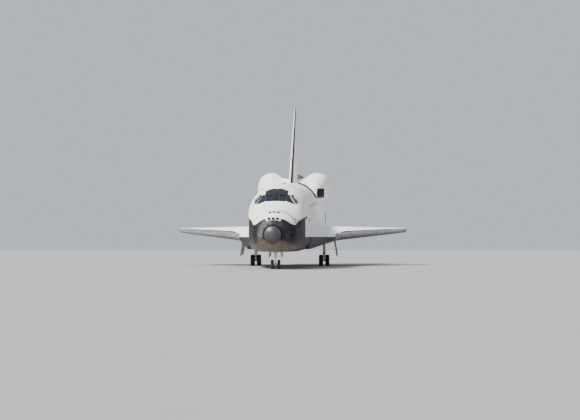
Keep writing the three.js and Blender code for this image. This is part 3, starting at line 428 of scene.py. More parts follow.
class Graph:
    """A material with its node tree, and the airframe's coordinates as numbers."""

    def __init__(self, name, **surface):
        self.material = bpy.data.materials.new(name)
        self.material.use_nodes = True
        self.tree = self.material.node_tree
        self.shader = self.tree.nodes["Principled BSDF"]
        for key, value in surface.items():
            self.shader.inputs[key.replace("_", " ")].default_value = value
        source = self.node("ShaderNodeTexCoord")
        back = ROW.inverted()
        place = self.node("ShaderNodeMapping")
        place.inputs["Location"].default_value = back.translation
        place.inputs["Rotation"].default_value = back.to_euler()
        self.put(source.outputs["Object"], place.inputs[0])
        self.place = place.outputs[0]
        turn = self.node("ShaderNodeMapping")
        turn.inputs["Rotation"].default_value = back.to_euler()
        self.put(source.outputs["Normal"], turn.inputs[0])
        self.x, self.y, self.z = self.parts(self.place)
        self.nx, self.ny, self.nz = self.parts(turn.outputs[0])

    def node(self, kind, **settings):
        made = self.tree.nodes.new(kind)
        for key, value in settings.items():
            setattr(made, key, value)
        return made

    def put(self, value, socket):
        if isinstance(value, Num):
            value = value.socket
        if isinstance(value, bpy.types.NodeSocket):
            self.tree.links.new(value, socket)
        else:
            socket.default_value = value

    def parts(self, vector):
        node = self.node("ShaderNodeSeparateXYZ")
        self.put(vector, node.inputs[0])
        return [Num(self, out) for out in node.outputs]

    def vector(self, *values):
        node = self.node("ShaderNodeCombineXYZ")
        for value, socket in zip(values, node.inputs):
            self.put(value, socket)
        return node.outputs[0]

    def noise(self, scale, detail=3.0, roughness=0.55, stretch=None, low=0.3, high=0.7):
        """Clouded mask from 0 to 1."""
        place = self.place
        if stretch:
            scaled = self.node("ShaderNodeVectorMath", operation="MULTIPLY")
            self.put(self.place, scaled.inputs[0])
            self.put(stretch, scaled.inputs[1])
            place = scaled.outputs[0]
        node = self.node("ShaderNodeTexNoise")
        for key, value in (("Vector", place), ("Scale", scale), ("Detail", detail), ("Roughness", roughness)):
            self.put(value, node.inputs[key])
        return Num(self, node.outputs[0]).ramp(low, high)

    def cells(self, size, vector=None):
        """A random number for each cell of a grid."""
        snap = self.node("ShaderNodeVectorMath", operation="SNAP")
        self.put(vector or self.place, snap.inputs[0])
        self.put((size, size, size), snap.inputs[1])
        node = self.node("ShaderNodeTexWhiteNoise")
        self.put(snap.outputs[0], node.inputs["Vector"])
        return Num(self, node.outputs["Value"])

    def mix(self, share, a, b):
        """Colour a, or colour b where the mask is 1."""
        node = self.node("ShaderNodeMix", data_type="RGBA")
        inputs = [s for s in node.inputs if s.type == "RGBA"]
        self.put(share, node.inputs[0])
        for value, socket in zip((a, b), inputs):
            self.put((*value, 1) if isinstance(value, tuple) else value, socket)
        return next(s for s in node.outputs if s.type == "RGBA")

    def finish(self, colour, roughness=None, height=None, depth=0.01, strength=1.0):
        self.put(colour, self.shader.inputs["Base Color"])
        if roughness is not None:
            self.put(roughness, self.shader.inputs["Roughness"])
        if height is not None:
            bump = self.node("ShaderNodeBump")
            self.put(depth, bump.inputs["Distance"])
            self.put(strength, bump.inputs["Strength"])
            self.put(height, bump.inputs["Height"])
            self.put(bump.outputs[0], self.shader.inputs["Normal"])
        return self.material


WHITE, OFF_WHITE, SOOT = (0.9, 0.895, 0.88), (0.64, 0.615, 0.57), (0.26, 0.24, 0.215)
BLACK, WORN_BLACK, GAP_BLACK = (0.006, 0.0065, 0.0105), (0.027, 0.026, 0.030), (0.006, 0.006, 0.007)
# The belly brown is partly stain and partly painted bounce light from the floor; the ash grey is partly a painted sun
# glint.
BROWN_AND_BOUNCE, ASH_AND_GLINT = (0.25, 0.19, 0.14), (0.24, 0.24, 0.25)
BLACK_TILE_SIDE, BLACK_TILE_GAP, WHITE_TILE_GAP, BLANKET_SEAM = 0.15, 0.007, 0.006, 0.016
QUILT_STEP = 0.03
HALF_ROOT = 0.70711


def tiled(name, black_where, blanket=0.9, tile=0.2, seams_and_shadow=None, wear=0.5, ash_and_glint=None):
    """White tiles and blankets, with black tiles where the mask says so. Black tiles lie askew on flat faces."""
    g = Graph(name, Specular_IOR_Level=0.1)
    black = black_where(g)
    flat = abs(g.nz) > 0.7
    across = g.vector(g.x * HALF_ROOT + g.y * HALF_ROOT, g.x * HALF_ROOT - g.y * HALF_ROOT, g.z)
    u, v, _ = g.parts(across)

    def grid(a, b, size, width):
        return a.line(size, width) | b.line(size, width)

    steep = grid(g.y, g.z, BLACK_TILE_SIDE, BLACK_TILE_GAP)
    diagonal = grid(u, v, BLACK_TILE_SIDE, BLACK_TILE_GAP)
    black_gap = steep * (-flat) + diagonal * flat
    level, seam_and_shadow = (g.y.line(size, gap) | g.z.line(size, gap) * (-flat) | g.x.line(size, gap) * flat
                   for size, gap in ((tile, WHITE_TILE_GAP), (blanket, BLANKET_SEAM)))
    if seams_and_shadow:
        # Extra seam lines; on the body they include a painted shadow along the nose module's port edge.
        seam_and_shadow = seam_and_shadow | seams_and_shadow(g)
    each = g.cells(BLACK_TILE_SIDE, across)
    patch = g.cells(blanket)
    streak = g.noise(1.0, 5, 0.62, (2.2, 0.22, 2.2), 0.42, 0.72)
    cloud = g.noise(0.9, 4, 0.6, None, 0.35, 0.7)
    fine = g.noise(38, 3, 0.6)
    dirty = streak * 0.5 + cloud * 0.5
    white = g.mix(dirty * (0.35 * wear) + patch * 0.14, WHITE, OFF_WHITE)
    white = g.mix(level * 0.16, white, SOOT)
    white = g.mix(seam_and_shadow * 0.62, white, SOOT)
    dark = g.mix((dirty * 0.55 + each * 0.3) * wear * 1.5, BLACK, WORN_BLACK)
    # Down-facing black tiles turn brown: partly stain, partly painted bounce light from the floor below.
    dark = g.mix(g.nz.ramp(-0.3, -0.6) * (dirty * 0.4 + 0.5), dark, BROWN_AND_BOUNCE)
    if ash_and_glint:
        # Greyer black tiles: ash, and near the nose cap a painted sun glint.
        dark = g.mix(ash_and_glint(g) * (streak * 0.6 + cloud * 0.5), dark, ASH_AND_GLINT)
    dark = g.mix(black_gap * 0.55, dark, GAP_BLACK)
    quilt = (g.x + g.z).do("PINGPONG", QUILT_STEP) * g.y.do("PINGPONG", QUILT_STEP) * 900
    height = quilt * (-black) * 0.35 + fine * 0.25 + each * black * 0.35
    height = height - seam_and_shadow * 1.2 - black_gap * black - level * 0.5
    rough = black.ramp(0, 1, 0.78, 0.4) + fine * 0.12
    return g.finish(g.mix(black, white, dark), rough, height, 0.006, 0.5)


# Height of the border between black below and white above, along the body's side
BORDER = [
    (0, 6), (1.02, 6), (1.06, 3.0), (1.35, 3.02), (1.58, 2.92), (1.82, 2.64), (2.23, 2.465), (2.6, 2.46),
    (3, 2.64), (3.74, 2.82), (4.6, 2.96), (6.42, 3.07), (33, 3.07),
]
# Height of the black belly's edge on the flank and the inner wing
CHINE = [(0, 1.5), (6.5, 1.25), (9, 1.13), (14, 0.87), (20, 0.56), (24, 0.3), (33, 0.3)]


def body_black(g):
    around_jets = ((g.x * 1.65).do("POWER", 4.0) + ((g.y - 1.24) * 3.1).do("POWER", 4.0)) < 1
    patch_end = g.z.ramp(2.82, 2.88, 5.4, 6.42)
    low = (g.z < g.y.curve(BORDER)) * (-around_jets) * (g.y < patch_end) | (g.z < g.y.curve(CHINE))
    arch = g.x.do("POWER", 2.0) * -0.2 + 5.42
    brow = (abs(g.x) < 0.975) * (g.z > 4.395) * (g.z < arch) * (g.y < 6.56)
    return low | brow


def body_seams_and_shadow(g):
    # Outline of the nose thruster module: a seam that widens on the port side into a painted shadow of its step.
    module_seam_and_shadow = (abs(g.y - abs(g.x) * 0.14 - 2.44) < g.x.ramp(0.1, 0.6, 0.02, 0.09)) * (g.z > 2.45)
    module_seam_and_shadow = module_seam_and_shadow | (abs(g.y - 1.0) < 0.01)
    return module_seam_and_shadow * 1.5 | (abs(g.z - 3.66) < 0.012) * (g.y > 6.6)


def door_seams(g):
    panel = (g.y - BAY_FRONT).line((BAY_BACK - BAY_FRONT) / 5, 0.045)
    return panel | (abs(g.x) < 0.06) | (abs(g.z - 3.83) < 0.05)


def wing_black(g):
    """The underside, the strip behind the edge panels and the inner wing below the chine."""
    x = abs(g.x)
    behind_edge = g.y - x - WING_EDGE
    return (g.nz < -0.12) | (behind_edge < 0.56) * (x > 5.2) | (g.z < g.y.curve(CHINE)) * (x < 5.2)


def fin_black(g):
    """A narrow strip along the front edge."""
    height = g.z - FIN_ROOT
    chord = height * -0.5069 + (FIN_BACK - FIN_FRONT)
    return (g.y - (height + FIN_FRONT)) < chord * 0.035


def pod_black(g):
    patch = (abs(abs(g.x) - 2.96) < 0.36) * (abs(g.z - 4.72) < 0.5) * (g.y < 29.5)
    return patch | (g.y > 33.45)


def plain(name, colour, worn, rough, scale=6, fine=60, depth=0.002, line=None, **surface):
    """Painted or bare surface with wear in patches and a fine grain."""
    g = Graph(name, **surface)
    patch = g.noise(scale, 5, 0.65, None, 0.45, 0.75)
    grain = g.noise(fine, 2)
    shade = g.mix(patch * 0.7 + grain * 0.15, colour, worn)
    height, strength = grain * 0.5 + patch * 0.5, 0.5
    if line:
        mask = line(g)
        shade = g.mix(mask * 0.8, shade, tuple(c * 0.35 for c in worn))
        height, strength = grain * 0.4 - mask, 0.6
    return g.finish(shade, grain * 0.12 + patch * 0.12 + rough, height, depth, strength)


def carbon(name, colour, worn):
    """Reinforced carbon with a woven grain and a dulled glaze."""
    g = Graph(name, Coat_Weight=0.15, Coat_Roughness=0.35)
    weave = (g.x + g.y).do("PINGPONG", 0.012) * (g.y - g.x + g.z).do("PINGPONG", 0.012) * 6000
    patch = g.noise(2.2, 6, 0.62, (1, 0.5, 1), 0.4, 0.75)
    fine = g.noise(45, 3)
    shade = g.mix(patch * 0.75 + fine * 0.2, colour, worn)
    return g.finish(shade, patch * 0.12 + 0.38, weave * 0.2 + fine * 0.3 + patch * 0.2, 0.003, 0.4)


def hot_metal(name, cold, warm):
    """Metal tinted by heat in bands, with streaks along the bell."""
    g = Graph(name, Metallic=0.85)
    streak = g.noise(2.0, 5, 0.6, (5, 0.4, 5), 0.35, 0.7)
    band = g.noise(1.4, 3, 0.5, (0.3, 2.0, 0.3), 0.3, 0.7)
    fine = g.noise(70, 2)
    shade = g.mix(band, cold, warm)
    shade = g.mix(streak * 0.6, shade, (0.05, 0.045, 0.042))
    return g.finish(shade, streak * 0.25 + 0.28, fine * 0.4 + streak, 0.002, 0.4)


def pane_glass(name, tint):
    g = Graph(name, Transmission_Weight=0.94, IOR=1.45, Coat_Weight=0.2, Coat_Roughness=0.03)
    smear = g.noise(4, 4)
    return g.finish(g.mix(smear * 0.3, tint, tuple(c * 0.7 for c in tint)), smear * 0.04 + 0.02)


def nose_ash_and_glint(g):
    """Greyed tiles round the nose cap and under the nose. Round the cap the grey is partly a painted sun glint, made
    stronger on the starboard side, where the sun falls.
    """
    # The ramp across x paints the starboard side, where the sun falls, lighter: a painted glint.
    ring = g.y.ramp(1.6, 0.8) * g.y.ramp(0.42, 0.47) * g.x.ramp(0.35, -0.5, 0.2, 1.15)
    return ring | g.z.ramp(1.3, 0.6) * g.y.ramp(7, 4) * 0.6


def everywhere(g):
    return g.z < 99


SKIN = tiled("body_tiles", body_black, seams_and_shadow=body_seams_and_shadow, wear=0.8, ash_and_glint=nose_ash_and_glint)
DOOR_PAINT = tiled("door_blankets", lambda g: g.y > 27.08, 0.92, 0.46, door_seams, 0.7)
WING_PAINT = tiled("wing_tiles", wing_black, 0.75, 0.2)
ELEVON_PAINT = tiled("elevon_tiles", lambda g: (g.nz < -0.12) | (abs(g.x) < 3.76), 0.75, 0.15)
FIN_PAINT = tiled("fin_tiles", fin_black, 0.6, 0.2)
POD_PAINT = tiled("pod_blankets", pod_black, 0.7, 0.2)
BAND_PAINT = tiled("bay_end_blankets", lambda g: g.y < 27.22, 0.9, 0.46)
HATCH_PAINT = tiled("hatch_tiles", lambda g: g.z > 9, 0.9, 0.15, wear=0.8)
BLACK_TILE, BASE_TILES, SHIELD_TILES = (
    tiled(name, everywhere, 0.9, 0.15, wear=wear)
    for name, wear in (("black_tiles", 0.4), ("base_black_tiles", 0.5), ("engine_shield_tiles", 0.7)))
NOSE_CARBON = carbon("nose_carbon", (0.030, 0.030, 0.031), (0.072, 0.067, 0.060))
EDGE_CARBON = carbon("edge_carbon", (0.125, 0.13, 0.145), (0.23, 0.225, 0.225))
FRAME_BLACK = plain("frame_black", (0.014, 0.015, 0.017), (0.05, 0.05, 0.052), 0.5)
SEAL = plain("seal_felt", (0.05, 0.05, 0.052), (0.14, 0.135, 0.13), 0.8, 9, 90, 0.004)
NOZZLE = plain("thruster_liner", (0.012, 0.012, 0.013), (0.05, 0.046, 0.042), 0.45, 8, 40, Metallic=0.4)
STEEL = plain("bare_steel", (0.55, 0.56, 0.58), (0.35, 0.35, 0.36), 0.24, 14, 90, 0.001, Metallic=0.9)
CHROME = plain("bright_rod", (0.78, 0.79, 0.81), (0.6, 0.6, 0.62), 0.08, 10, 120, 0.0004, Metallic=1.0)
GEAR_WHITE = plain("gear_paint", (0.8, 0.8, 0.78), (0.52, 0.5, 0.46), 0.38, 7, 70, 0.0015)
HUB_GREY = plain("hub_alloy", (0.62, 0.63, 0.65), (0.4, 0.4, 0.4), 0.32, 9, 80, 0.001, Metallic=0.7)
HOSE = plain("hose_rubber", (0.02, 0.02, 0.021), (0.06, 0.06, 0.06), 0.6, 20, 120)
BELL_METAL = hot_metal("bell_metal", (0.30, 0.285, 0.27), (0.42, 0.36, 0.29))
OMS_METAL = hot_metal("pod_engine_metal", (0.16, 0.15, 0.145), (0.28, 0.22, 0.17))
BLANKET = plain("seal_blanket", (0.6, 0.59, 0.56), (0.4, 0.385, 0.36), 0.85, 5, 45, 0.008)
GLASS = pane_glass("window_glass", (0.1, 0.13, 0.26))
DECK = plain("deck_paint", (0.22, 0.24, 0.25), (0.14, 0.145, 0.15), 0.5, 5, 60)
PANEL = plain("panel_paint", (0.09, 0.1, 0.105), (0.05, 0.05, 0.055), 0.45, 9, 60)
CLOTH = plain("seat_cloth", (0.13, 0.16, 0.12), (0.08, 0.1, 0.08), 0.85, 12, 160, 0.003)
LINER = plain("bay_liner", (0.70, 0.69, 0.62), (0.5, 0.49, 0.43), 0.7, 3, 30, 0.006,
              line=lambda g: g.y.line(0.61, 0.012) | g.z.line(0.5, 0.012))
RIB = plain("bay_rib", (0.55, 0.56, 0.52), (0.38, 0.38, 0.35), 0.5, 4, 40)
RADIATOR = plain("radiator_film", (0.82, 0.83, 0.85), (0.66, 0.67, 0.7), 0.14, 1.2, 20, 0.0015,
                 line=lambda g: g.z.line(0.15, 0.008), Metallic=0.85)
GEAR_DOOR = tiled("gear_door_tiles", lambda g: g.nx * g.x > 0.9, 0.6, 0.3, wear=0.6)


def tyre_rubber():
    g = Graph("tyre_rubber")
    dust = g.noise(9, 5, 0.6, None, 0.4, 0.75)
    fine = g.noise(150, 2)
    shade = g.mix(dust * 0.6 + fine * 0.1, (0.016, 0.016, 0.017), (0.075, 0.07, 0.064))
    return g.finish(shade, dust * 0.15 + 0.68, fine + dust * 0.4, 0.0015, 0.6)


RUBBER = tyre_rubber()
HOUSING_PAINT = tiled("thruster_housing", lambda g: g.y > 33.9, 0.9, 0.2)
RUDDER_PAINT = tiled("rudder_tiles", lambda g: g.y < 0, 0.6, 0.2)
LAMP = plain("lamp_glass", (0.75, 0.78, 0.8), (0.5, 0.52, 0.55), 0.1, 20, 90, Coat_Weight=0.8)
SCREEN = plain("screen_glass", (0.012, 0.02, 0.03), (0.03, 0.04, 0.05), 0.12, 20, 90, Coat_Weight=0.7)
FLOOR = plain("studio_floor", (0.36, 0.36, 0.355), (0.33, 0.33, 0.325), 0.75, 0.4, 8, 0.001)

SIDES = (("port", 1), ("starboard", -1))


def on(shape, side):
    return shape if side > 0 else shape.mirror()


def pair(name, shape, finish, slot, body="airframe", stands_for=None, cuts=(), **more):
    """A piece on the port side and its mirror image to starboard. The * in a name stands for the side."""
    for label, side in SIDES:
        replaced = [stands_for.replace("*", label)] if stands_for else ()
        piece(name.replace("*", label), on(shape, side), finish, slot, body.replace("*", label), replaced,
              [on(cut, side) for cut in cuts], **more)


def spread(start, end, step):
    """Even stations from start to end, at most step apart."""
    return list(np.linspace(start, end, max(2, int(math.ceil((end - start) / step)) + 1)))


def hull_loft(y0, y1, inset=0.0, step=0.12, **limits):
    return Shape().loft([hull_ring(y, inset, **limits) for y in spread(y0, y1, step)])


# Nose

rings = [hull_ring(CAP_LENGTH * (i / 28) ** 2 + 1e-5) for i in range(28)] + [hull_ring(CAP_LENGTH)]
cap = Shape().loft(rings)
piece("nose_cap_dome", cap, NOSE_CARBON, "nose_carbon", stands_for=["nose_cap"], sharp=60)
piece("nose_cap_seal", hull_loft(0.25, 0.33, 0.016, 0.02), SEAL, "nose_carbon")

# Windshield panes as seen from ahead: corners x, z on the port side, from the middle outwards
WINDSHIELD = [
    [(0.27, 4.43), (0.82, 4.4), (0.8, 4.93), (0.3, 4.96)],
    [(0.935, 4.39), (1.62, 4.14), (1.19, 4.85), (0.935, 4.9)],
    [(1.73, 4.18), (1.85, 4.19), (1.87, 4.45), (1.37, 4.92), (1.3, 4.84)],
]
OVERHEAD = [(0.18, 5.95), (0.7, 5.95), (0.7, 6.45), (0.18, 6.45)]
HATCH = (5.89, 2.35)
HATCH_RADIUS, HATCH_PANE = 0.508, 0.127


def rounded(corners, radius, steps=4):
    """Outline with rounded corners."""
    made = []
    for i, b in enumerate(corners):
        a, c = Vector(corners[i - 1]), Vector(corners[(i + 1) % len(corners)])
        b = Vector(b)
        start, end = b + (a - b).normalized() * radius, b + (c - b).normalized() * radius
        for k in range(steps + 1):
            t = k / steps
            made.append((1 - t) ** 2 * start + 2 * t * (1 - t) * b + t * t * end)
    return made


def dense(outline, step):
    """The same outline with more points along its longer sides."""
    made = []
    for a, b in zip(outline, outline[1:] + outline[:1]):
        count = max(1, int((b - a).length / step))
        made += [lerp(a, b, k / count) for k in range(count)]
    return made


def grown(outline, margin):
    """Outline moved outwards by margin."""
    made = []
    turn = sum((a.x * b.y - b.x * a.y) for a, b in zip(outline, outline[1:] + outline[:1]))
    for i, p in enumerate(outline):
        along = (outline[(i + 1) % len(outline)] - outline[i - 1]).normalized()
        made.append(p + Vector((along.y, -along.x)) * math.copysign(margin, turn))
    return made


class Window:
    """An opening in the skin, with its frame and its flat pane."""

    def __init__(self, corners, onto, margin=0.045, depth=0.055):
        self.outline = dense(rounded(corners, 0.05), 0.08)
        edge = [onto(*p) for p in self.outline]
        self.middle = sum(edge, Vector()) / len(edge)
        normal = Vector()
        for a, b in zip(edge, edge[1:] + edge[:1]):
            normal += (a - self.middle).cross(b - self.middle)
        self.normal = normal.normalized()
        if self.normal.dot(hull_normal(self.middle)) < 0:
            self.normal.negate()
        self.edge, self.depth = edge, depth
        rim = [onto(*p) for p in grown(self.outline, margin)]
        self.proud = [p + hull_normal(p) * 0.004 for p in rim]
        self.lip = [p + hull_normal(p) * 0.012 for p in edge]

    def flat(self, points, depth):
        return [p - self.normal * ((p - self.middle).dot(self.normal) + depth) for p in points]

    def opening(self):
        """Cutter that reaches through the skin."""
        return Shape().loft([self.flat(self.edge, d) for d in (-0.35, 0.35)])

    def frame(self):
        under = [p - self.normal * 0.05 for p in self.proud]
        seat, back = self.flat(self.edge, self.depth), self.flat(self.edge, self.depth + 0.06)
        inner = [lerp(p, self.middle, 0.035) for p in seat]
        rings = [under, self.proud, self.lip, seat, self.flat(inner, self.depth),
                 self.flat(inner, self.depth + 0.05), back]
        return Shape().loft(rings, caps=False, wrap=True)

    def pane(self):
        loops = [self.flat(self.edge, self.depth + d) for d in (0.012, 0.034)]
        return Shape().loft([[lerp(p, self.middle, 0.012) for p in loop] for loop in loops])


port_windows = [Window(corners, from_ahead) for corners in WINDSHIELD]
roof_window = Window(OVERHEAD, from_above, 0.05)

# Nose thrusters: place on the skin, direction, radius of the mouth
FRONT_JET = 0.14
THRUSTERS = [(from_ahead(x, 3.0), (0, -1, 0.1), FRONT_JET) for x in (-0.345, 0, 0.345)]
THRUSTERS += [(from_above(x, 2.12), (0, -0.6, 1), 0.125) for x in (-0.345, 0, 0.345)]
for flank in (-1, 1):
    THRUSTERS += [(from_side(y, 2.2, flank), (flank, -0.35, 0.1), 0.105) for y in (1.78, 2.16)]
    THRUSTERS += [(from_side(y, 1.62, flank), (flank, -0.3, -0.55), 0.105) for y in (1.62, 2.0)]
    THRUSTERS += [(from_side(1.3, 2.02, flank), (flank, -0.55, -0.2), 0.045)]


def thruster(place, direction, radius):
    """Flared nozzle sunk in the skin."""
    m = facing(place, direction)
    cup = [(-0.27, 0), (-0.27, 0.3), (-0.22, 0.34), (-0.14, 0.62), (-0.05, 0.86), (0.0, 0.95)]
    inside = [(z, r * radius) for z, r in cup]
    outside = [(0.0, radius * 0.99), (-0.05, radius * 0.93), (-0.14, radius * 0.7), (-0.3, radius * 0.4), (-0.3, 0)]
    return Shape().turned(inside + outside, m, 28)


def port_rim(place, radius):
    profile = [(-0.012, radius), (0.007, radius * 1.03), (0.01, radius * 1.13), (-0.015, radius * 1.18)]
    return Shape().turned(profile, facing(place, hull_normal(place)), 28, wrap=True)


def drill(place, direction, low, high, radius, end_radius, sides):
    """Round cutter along direction, from low to high as measured from the place."""
    return Shape().turned([(low, 0), (low, radius), (high, end_radius), (high, 0)], facing(place, direction), sides)


def bore(place, direction, radius):
    return drill(place, direction, -0.4, 0.3, radius, radius, 32)


cabin = hull_loft(3.95, 8.588, CABIN_SKIN, 0.15, floor=1.4)
nose_well = Shape().box((-0.52, 2.5, -0.6), (0.52, 5.3, 1.15), 0.001)
hatch_hole = drill((2.45, *HATCH), (1, 0, 0), -0.6, 0.6, 0.514, 0.514, 48)
bores, nozzles, rims, front_rims, openings = (Shape() for _ in range(5))
for place, direction, radius in THRUSTERS:
    bores.join(bore(place, direction, radius))
    nozzles.join(thruster(place, direction, radius))
    (front_rims if radius == FRONT_JET else rims).join(port_rim(place, radius))
for window in (*port_windows, roof_window):
    openings.join(window.opening())
shell = hull_loft(0.278, BAY_FRONT - 0.001, 0, 0.11, count=61)
piece("forward_skin", shell, SKIN, "forward_tiles", stands_for=["forward_fuselage"],
      cuts=[cabin, openings.both(), hatch_hole, nose_well, bores])
piece("nose_thruster_nozzles", nozzles, NOZZLE, "engine_metal")
piece("nose_thruster_rims", rims, FRAME_BLACK, "forward_tiles")
piece("nose_front_thruster_rims", front_rims, BLANKET, "forward_tiles")
for i, window in enumerate(port_windows):
    for number, side in ((i + 4, 1), (3 - i, -1)):
        piece(f"windshield_frame_{number}", on(window.frame(), side), FRAME_BLACK, "forward_tiles")
        piece(f"windshield_glass_{number}", on(window.pane(), side), GLASS, "window_glass",
              stands_for=[f"windshield_pane_{number}"])
pair("overhead_frame_*", roof_window.frame(), FRAME_BLACK, "forward_tiles")
pair("overhead_glass_*", roof_window.pane(), GLASS, "window_glass", stands_for="overhead_pane_*")

# Crew hatch, which falls open about a pin at (x, z)
HATCH_PIN, PIN_RADIUS = (2.52, 1.826), 0.026


def hatch_ring(radius, inset):
    """Circle around the hatch's middle, sunk from the skin by inset."""
    angles = [2 * math.pi * k / 56 for k in range(56)]
    edge = [from_side(HATCH[0] + radius * math.cos(a), HATCH[1] + radius * math.sin(a)) for a in angles]
    return [p - Vector((inset, 0, 0)) for p in edge]


def hatch_rings(*rows):
    return Shape().loft([hatch_ring(*row) for row in rows], caps=False, wrap=True)


front = [(r, 0.004) for r in (HATCH_PANE, 0.2, 0.3, 0.4, 0.47, HATCH_RADIUS - 0.008)]
hatch = hatch_rings(*front, (HATCH_RADIUS, 0.012), (HATCH_RADIUS, 0.13), (0.3, 0.13), (HATCH_PANE, 0.13))
hatch.pin(HATCH_PIN, 5.79, 5.99, PIN_RADIUS)
hatch.box((2.43, 5.8, 1.836), (2.52, 5.98, 1.9), 0.004)
piece("hatch_skin", hatch, HATCH_PAINT, "hatch_skin", "side_hatch", ["side_hatch"])
pane = Shape().loft([hatch_ring(0.12, 0.05), hatch_ring(0.12, 0.07)])
piece("hatch_window", pane, GLASS, "window_glass", "side_hatch", ["hatch_pane"])
fittings = hatch_rings((HATCH_PANE + 0.05, -0.002), (HATCH_PANE + 0.045, -0.014), (HATCH_PANE, -0.012), (0.11, 0.05),
                       (HATCH_PANE, 0.08))
fittings.tube([(2.34, 5.66, 2.5), (2.28, 5.68, 2.5), (2.27, 5.89, 2.52), (2.28, 6.1, 2.5), (2.34, 6.12, 2.5)], 0.016)
piece("hatch_fittings", fittings, STEEL, "gear_metal", "side_hatch")
knuckles = Shape()
for start, end in ((5.7003, 5.7897), (5.9903, 6.0797)):
    knuckles.pin(HATCH_PIN, start, end, PIN_RADIUS)
    knuckles.box((2.43, start, 1.756), (2.53, end, 1.818), 0.004)
piece("hatch_knuckles", knuckles, STEEL, "gear_metal")

# Middle body and payload bay


def bay_section():
    """Sides, belly and round trough of the middle body."""
    x, z = half_ring(*hull(BAY_FRONT), 90)
    keep = z < SILL
    port = list(zip(x[keep], z[keep]))
    port += [(bisect(3, 2, lambda px: hull_reach(px, BAY_FRONT, SILL) < 1), SILL), (BAY_RADIUS, SILL)]
    angles = np.linspace(0, -math.pi / 2, 25)
    port += [(BAY_RADIUS * math.cos(a), BAY_AXIS + BAY_RADIUS * math.sin(a)) for a in angles]
    return port + [(-px, pz) for px, pz in port[-2:0:-1]]


section = bay_section()
trough = Shape().loft([[(x, y, z) for x, z in section] for y in spread(BAY_FRONT + HAIR, BAY_BACK, 1.3)])
relief = Shape()
HINGES = [lerp(BAY_FRONT, BAY_BACK, (i + 0.5) / 3) for i in range(3)]
DOOR_PIN, DOOR_PIN_RADIUS, DOOR_PIN_HOLE, KNUCKLE = (2.64, 3.772), 0.034, 0.042, 0.1297
for y in HINGES:
    relief.pin(DOOR_PIN, y - 0.13, y + 0.13, DOOR_PIN_HOLE)
piece("mid_skin", trough, SKIN, "mid_tiles", stands_for=["mid_fuselage"], cuts=[relief.both()])


def bay_arc(y, radius):
    angles = np.linspace(math.pi, 2 * math.pi, 41)
    return [Vector((radius * math.cos(a), y, BAY_AXIS + radius * math.sin(a))) for a in angles]


liner, ribs = Shape(), Shape()
frames_at = spread(BAY_FRONT + 0.02, BAY_BACK - 0.02, 1.55)
for y0, y1 in zip(frames_at, frames_at[1:]):
    rows = ((y0 + 0.05, 0.012), (y0 + 0.09, 0.035), (y1 - 0.09, 0.035), (y1 - 0.05, 0.012))
    liner.sheet([bay_arc(y, BAY_RADIUS - depth) for y, depth in rows])
piece("bay_liner_blankets", liner, LINER, "mid_tiles")
RIB_HALF = [(0.06, -0.001), (0.06, -0.02), (0.025, -0.03), (0.025, -0.09), (0.06, -0.1), (0.06, -0.115)]
for y in frames_at:
    y = min(max(y, BAY_FRONT + 0.07), BAY_BACK - 0.07)
    profile = [(-dy, dr) for dy, dr in RIB_HALF] + RIB_HALF[::-1]
    arcs = [bay_arc(y + dy, BAY_RADIUS + dr) for dy, dr in profile]
    ribs.loft([list(ring) for ring in zip(*arcs)])
rails = Shape().box((2.292, BAY_FRONT + 0.05, 3.70), (2.5, BAY_BACK - 0.05, 3.772), 0.008)
rails.box((2.22, BAY_FRONT + 0.05, 3.55), (2.284, BAY_BACK - 0.05, 3.74), 0.008)
for y in spread(BAY_FRONT + 0.8, BAY_BACK - 0.8, 1.0):
    rails.box((2.24, y - 0.09, 3.74), (2.42, y + 0.09, 3.81), 0.012)
    rails.rod((2.3, y, 3.8), (2.3, y, 3.835), 0.03, sides=12)
piece("bay_ribs", ribs, RIB, "mid_tiles")
piece("bay_sill_rails", rails.both(), RIB, "mid_tiles")
TRAY_ENDS = BAY_FRONT + 0.1, BAY_BACK - 0.1
keel = Shape()
for x, low, high in ((0, 1.1, 1.2), (-0.9, 1.3, 1.38), (0.9, 1.3, 1.38)):
    keel.box((x - 0.16, TRAY_ENDS[0], low), (x + 0.16, TRAY_ENDS[1], high), 0.01)
for x in (-1.45, 1.45):
    for k in range(3):
        keel.tube([(x + 0.06 * k, y, 1.66 + 0.05 * k) for y in (TRAY_ENDS[0], 18, TRAY_ENDS[1])], 0.022, 8)
piece("bay_keel_and_trays", keel, RIB, "mid_tiles")

# Bulkheads at both ends of the bay
walls = Shape()
for x in (-1.5, -0.75, 0.75, 1.5):
    walls.box((x - 0.04, BAY_FRONT + 0.001, 2.0), (x + 0.04, BAY_FRONT + 0.06, 4.6), 0.008)
    walls.box((x - 0.05, BAY_BACK - 0.06, 1.7), (x + 0.05, BAY_BACK - 0.001, 4.9), 0.008)
for z in (1.75, 2.6, 3.5, 4.4):
    walls.box((-1.75, BAY_BACK - 0.06, z - 0.04), (1.75, BAY_BACK - 0.002, z + 0.04), 0.008)
walls.turned([(0.0, 0.56), (0.08, 0.56), (0.1, 0.54), (0.1, 0.48), (0.0, 0.46)],
             facing((0, BAY_FRONT + 0.001, 2.6), (0, 1, 0)), 48, wrap=True)
walls.turned([(0.0, 0), (0.0, 0.47), (0.05, 0.46), (0.09, 0.3), (0.1, 0)],
             facing((0, BAY_FRONT + 0.002, 2.6), (0, 1, 0)), 48)
piece("bay_bulkhead_frames", walls, RIB, "mid_tiles")
aft_windows, aft_frames = Shape(), Shape()
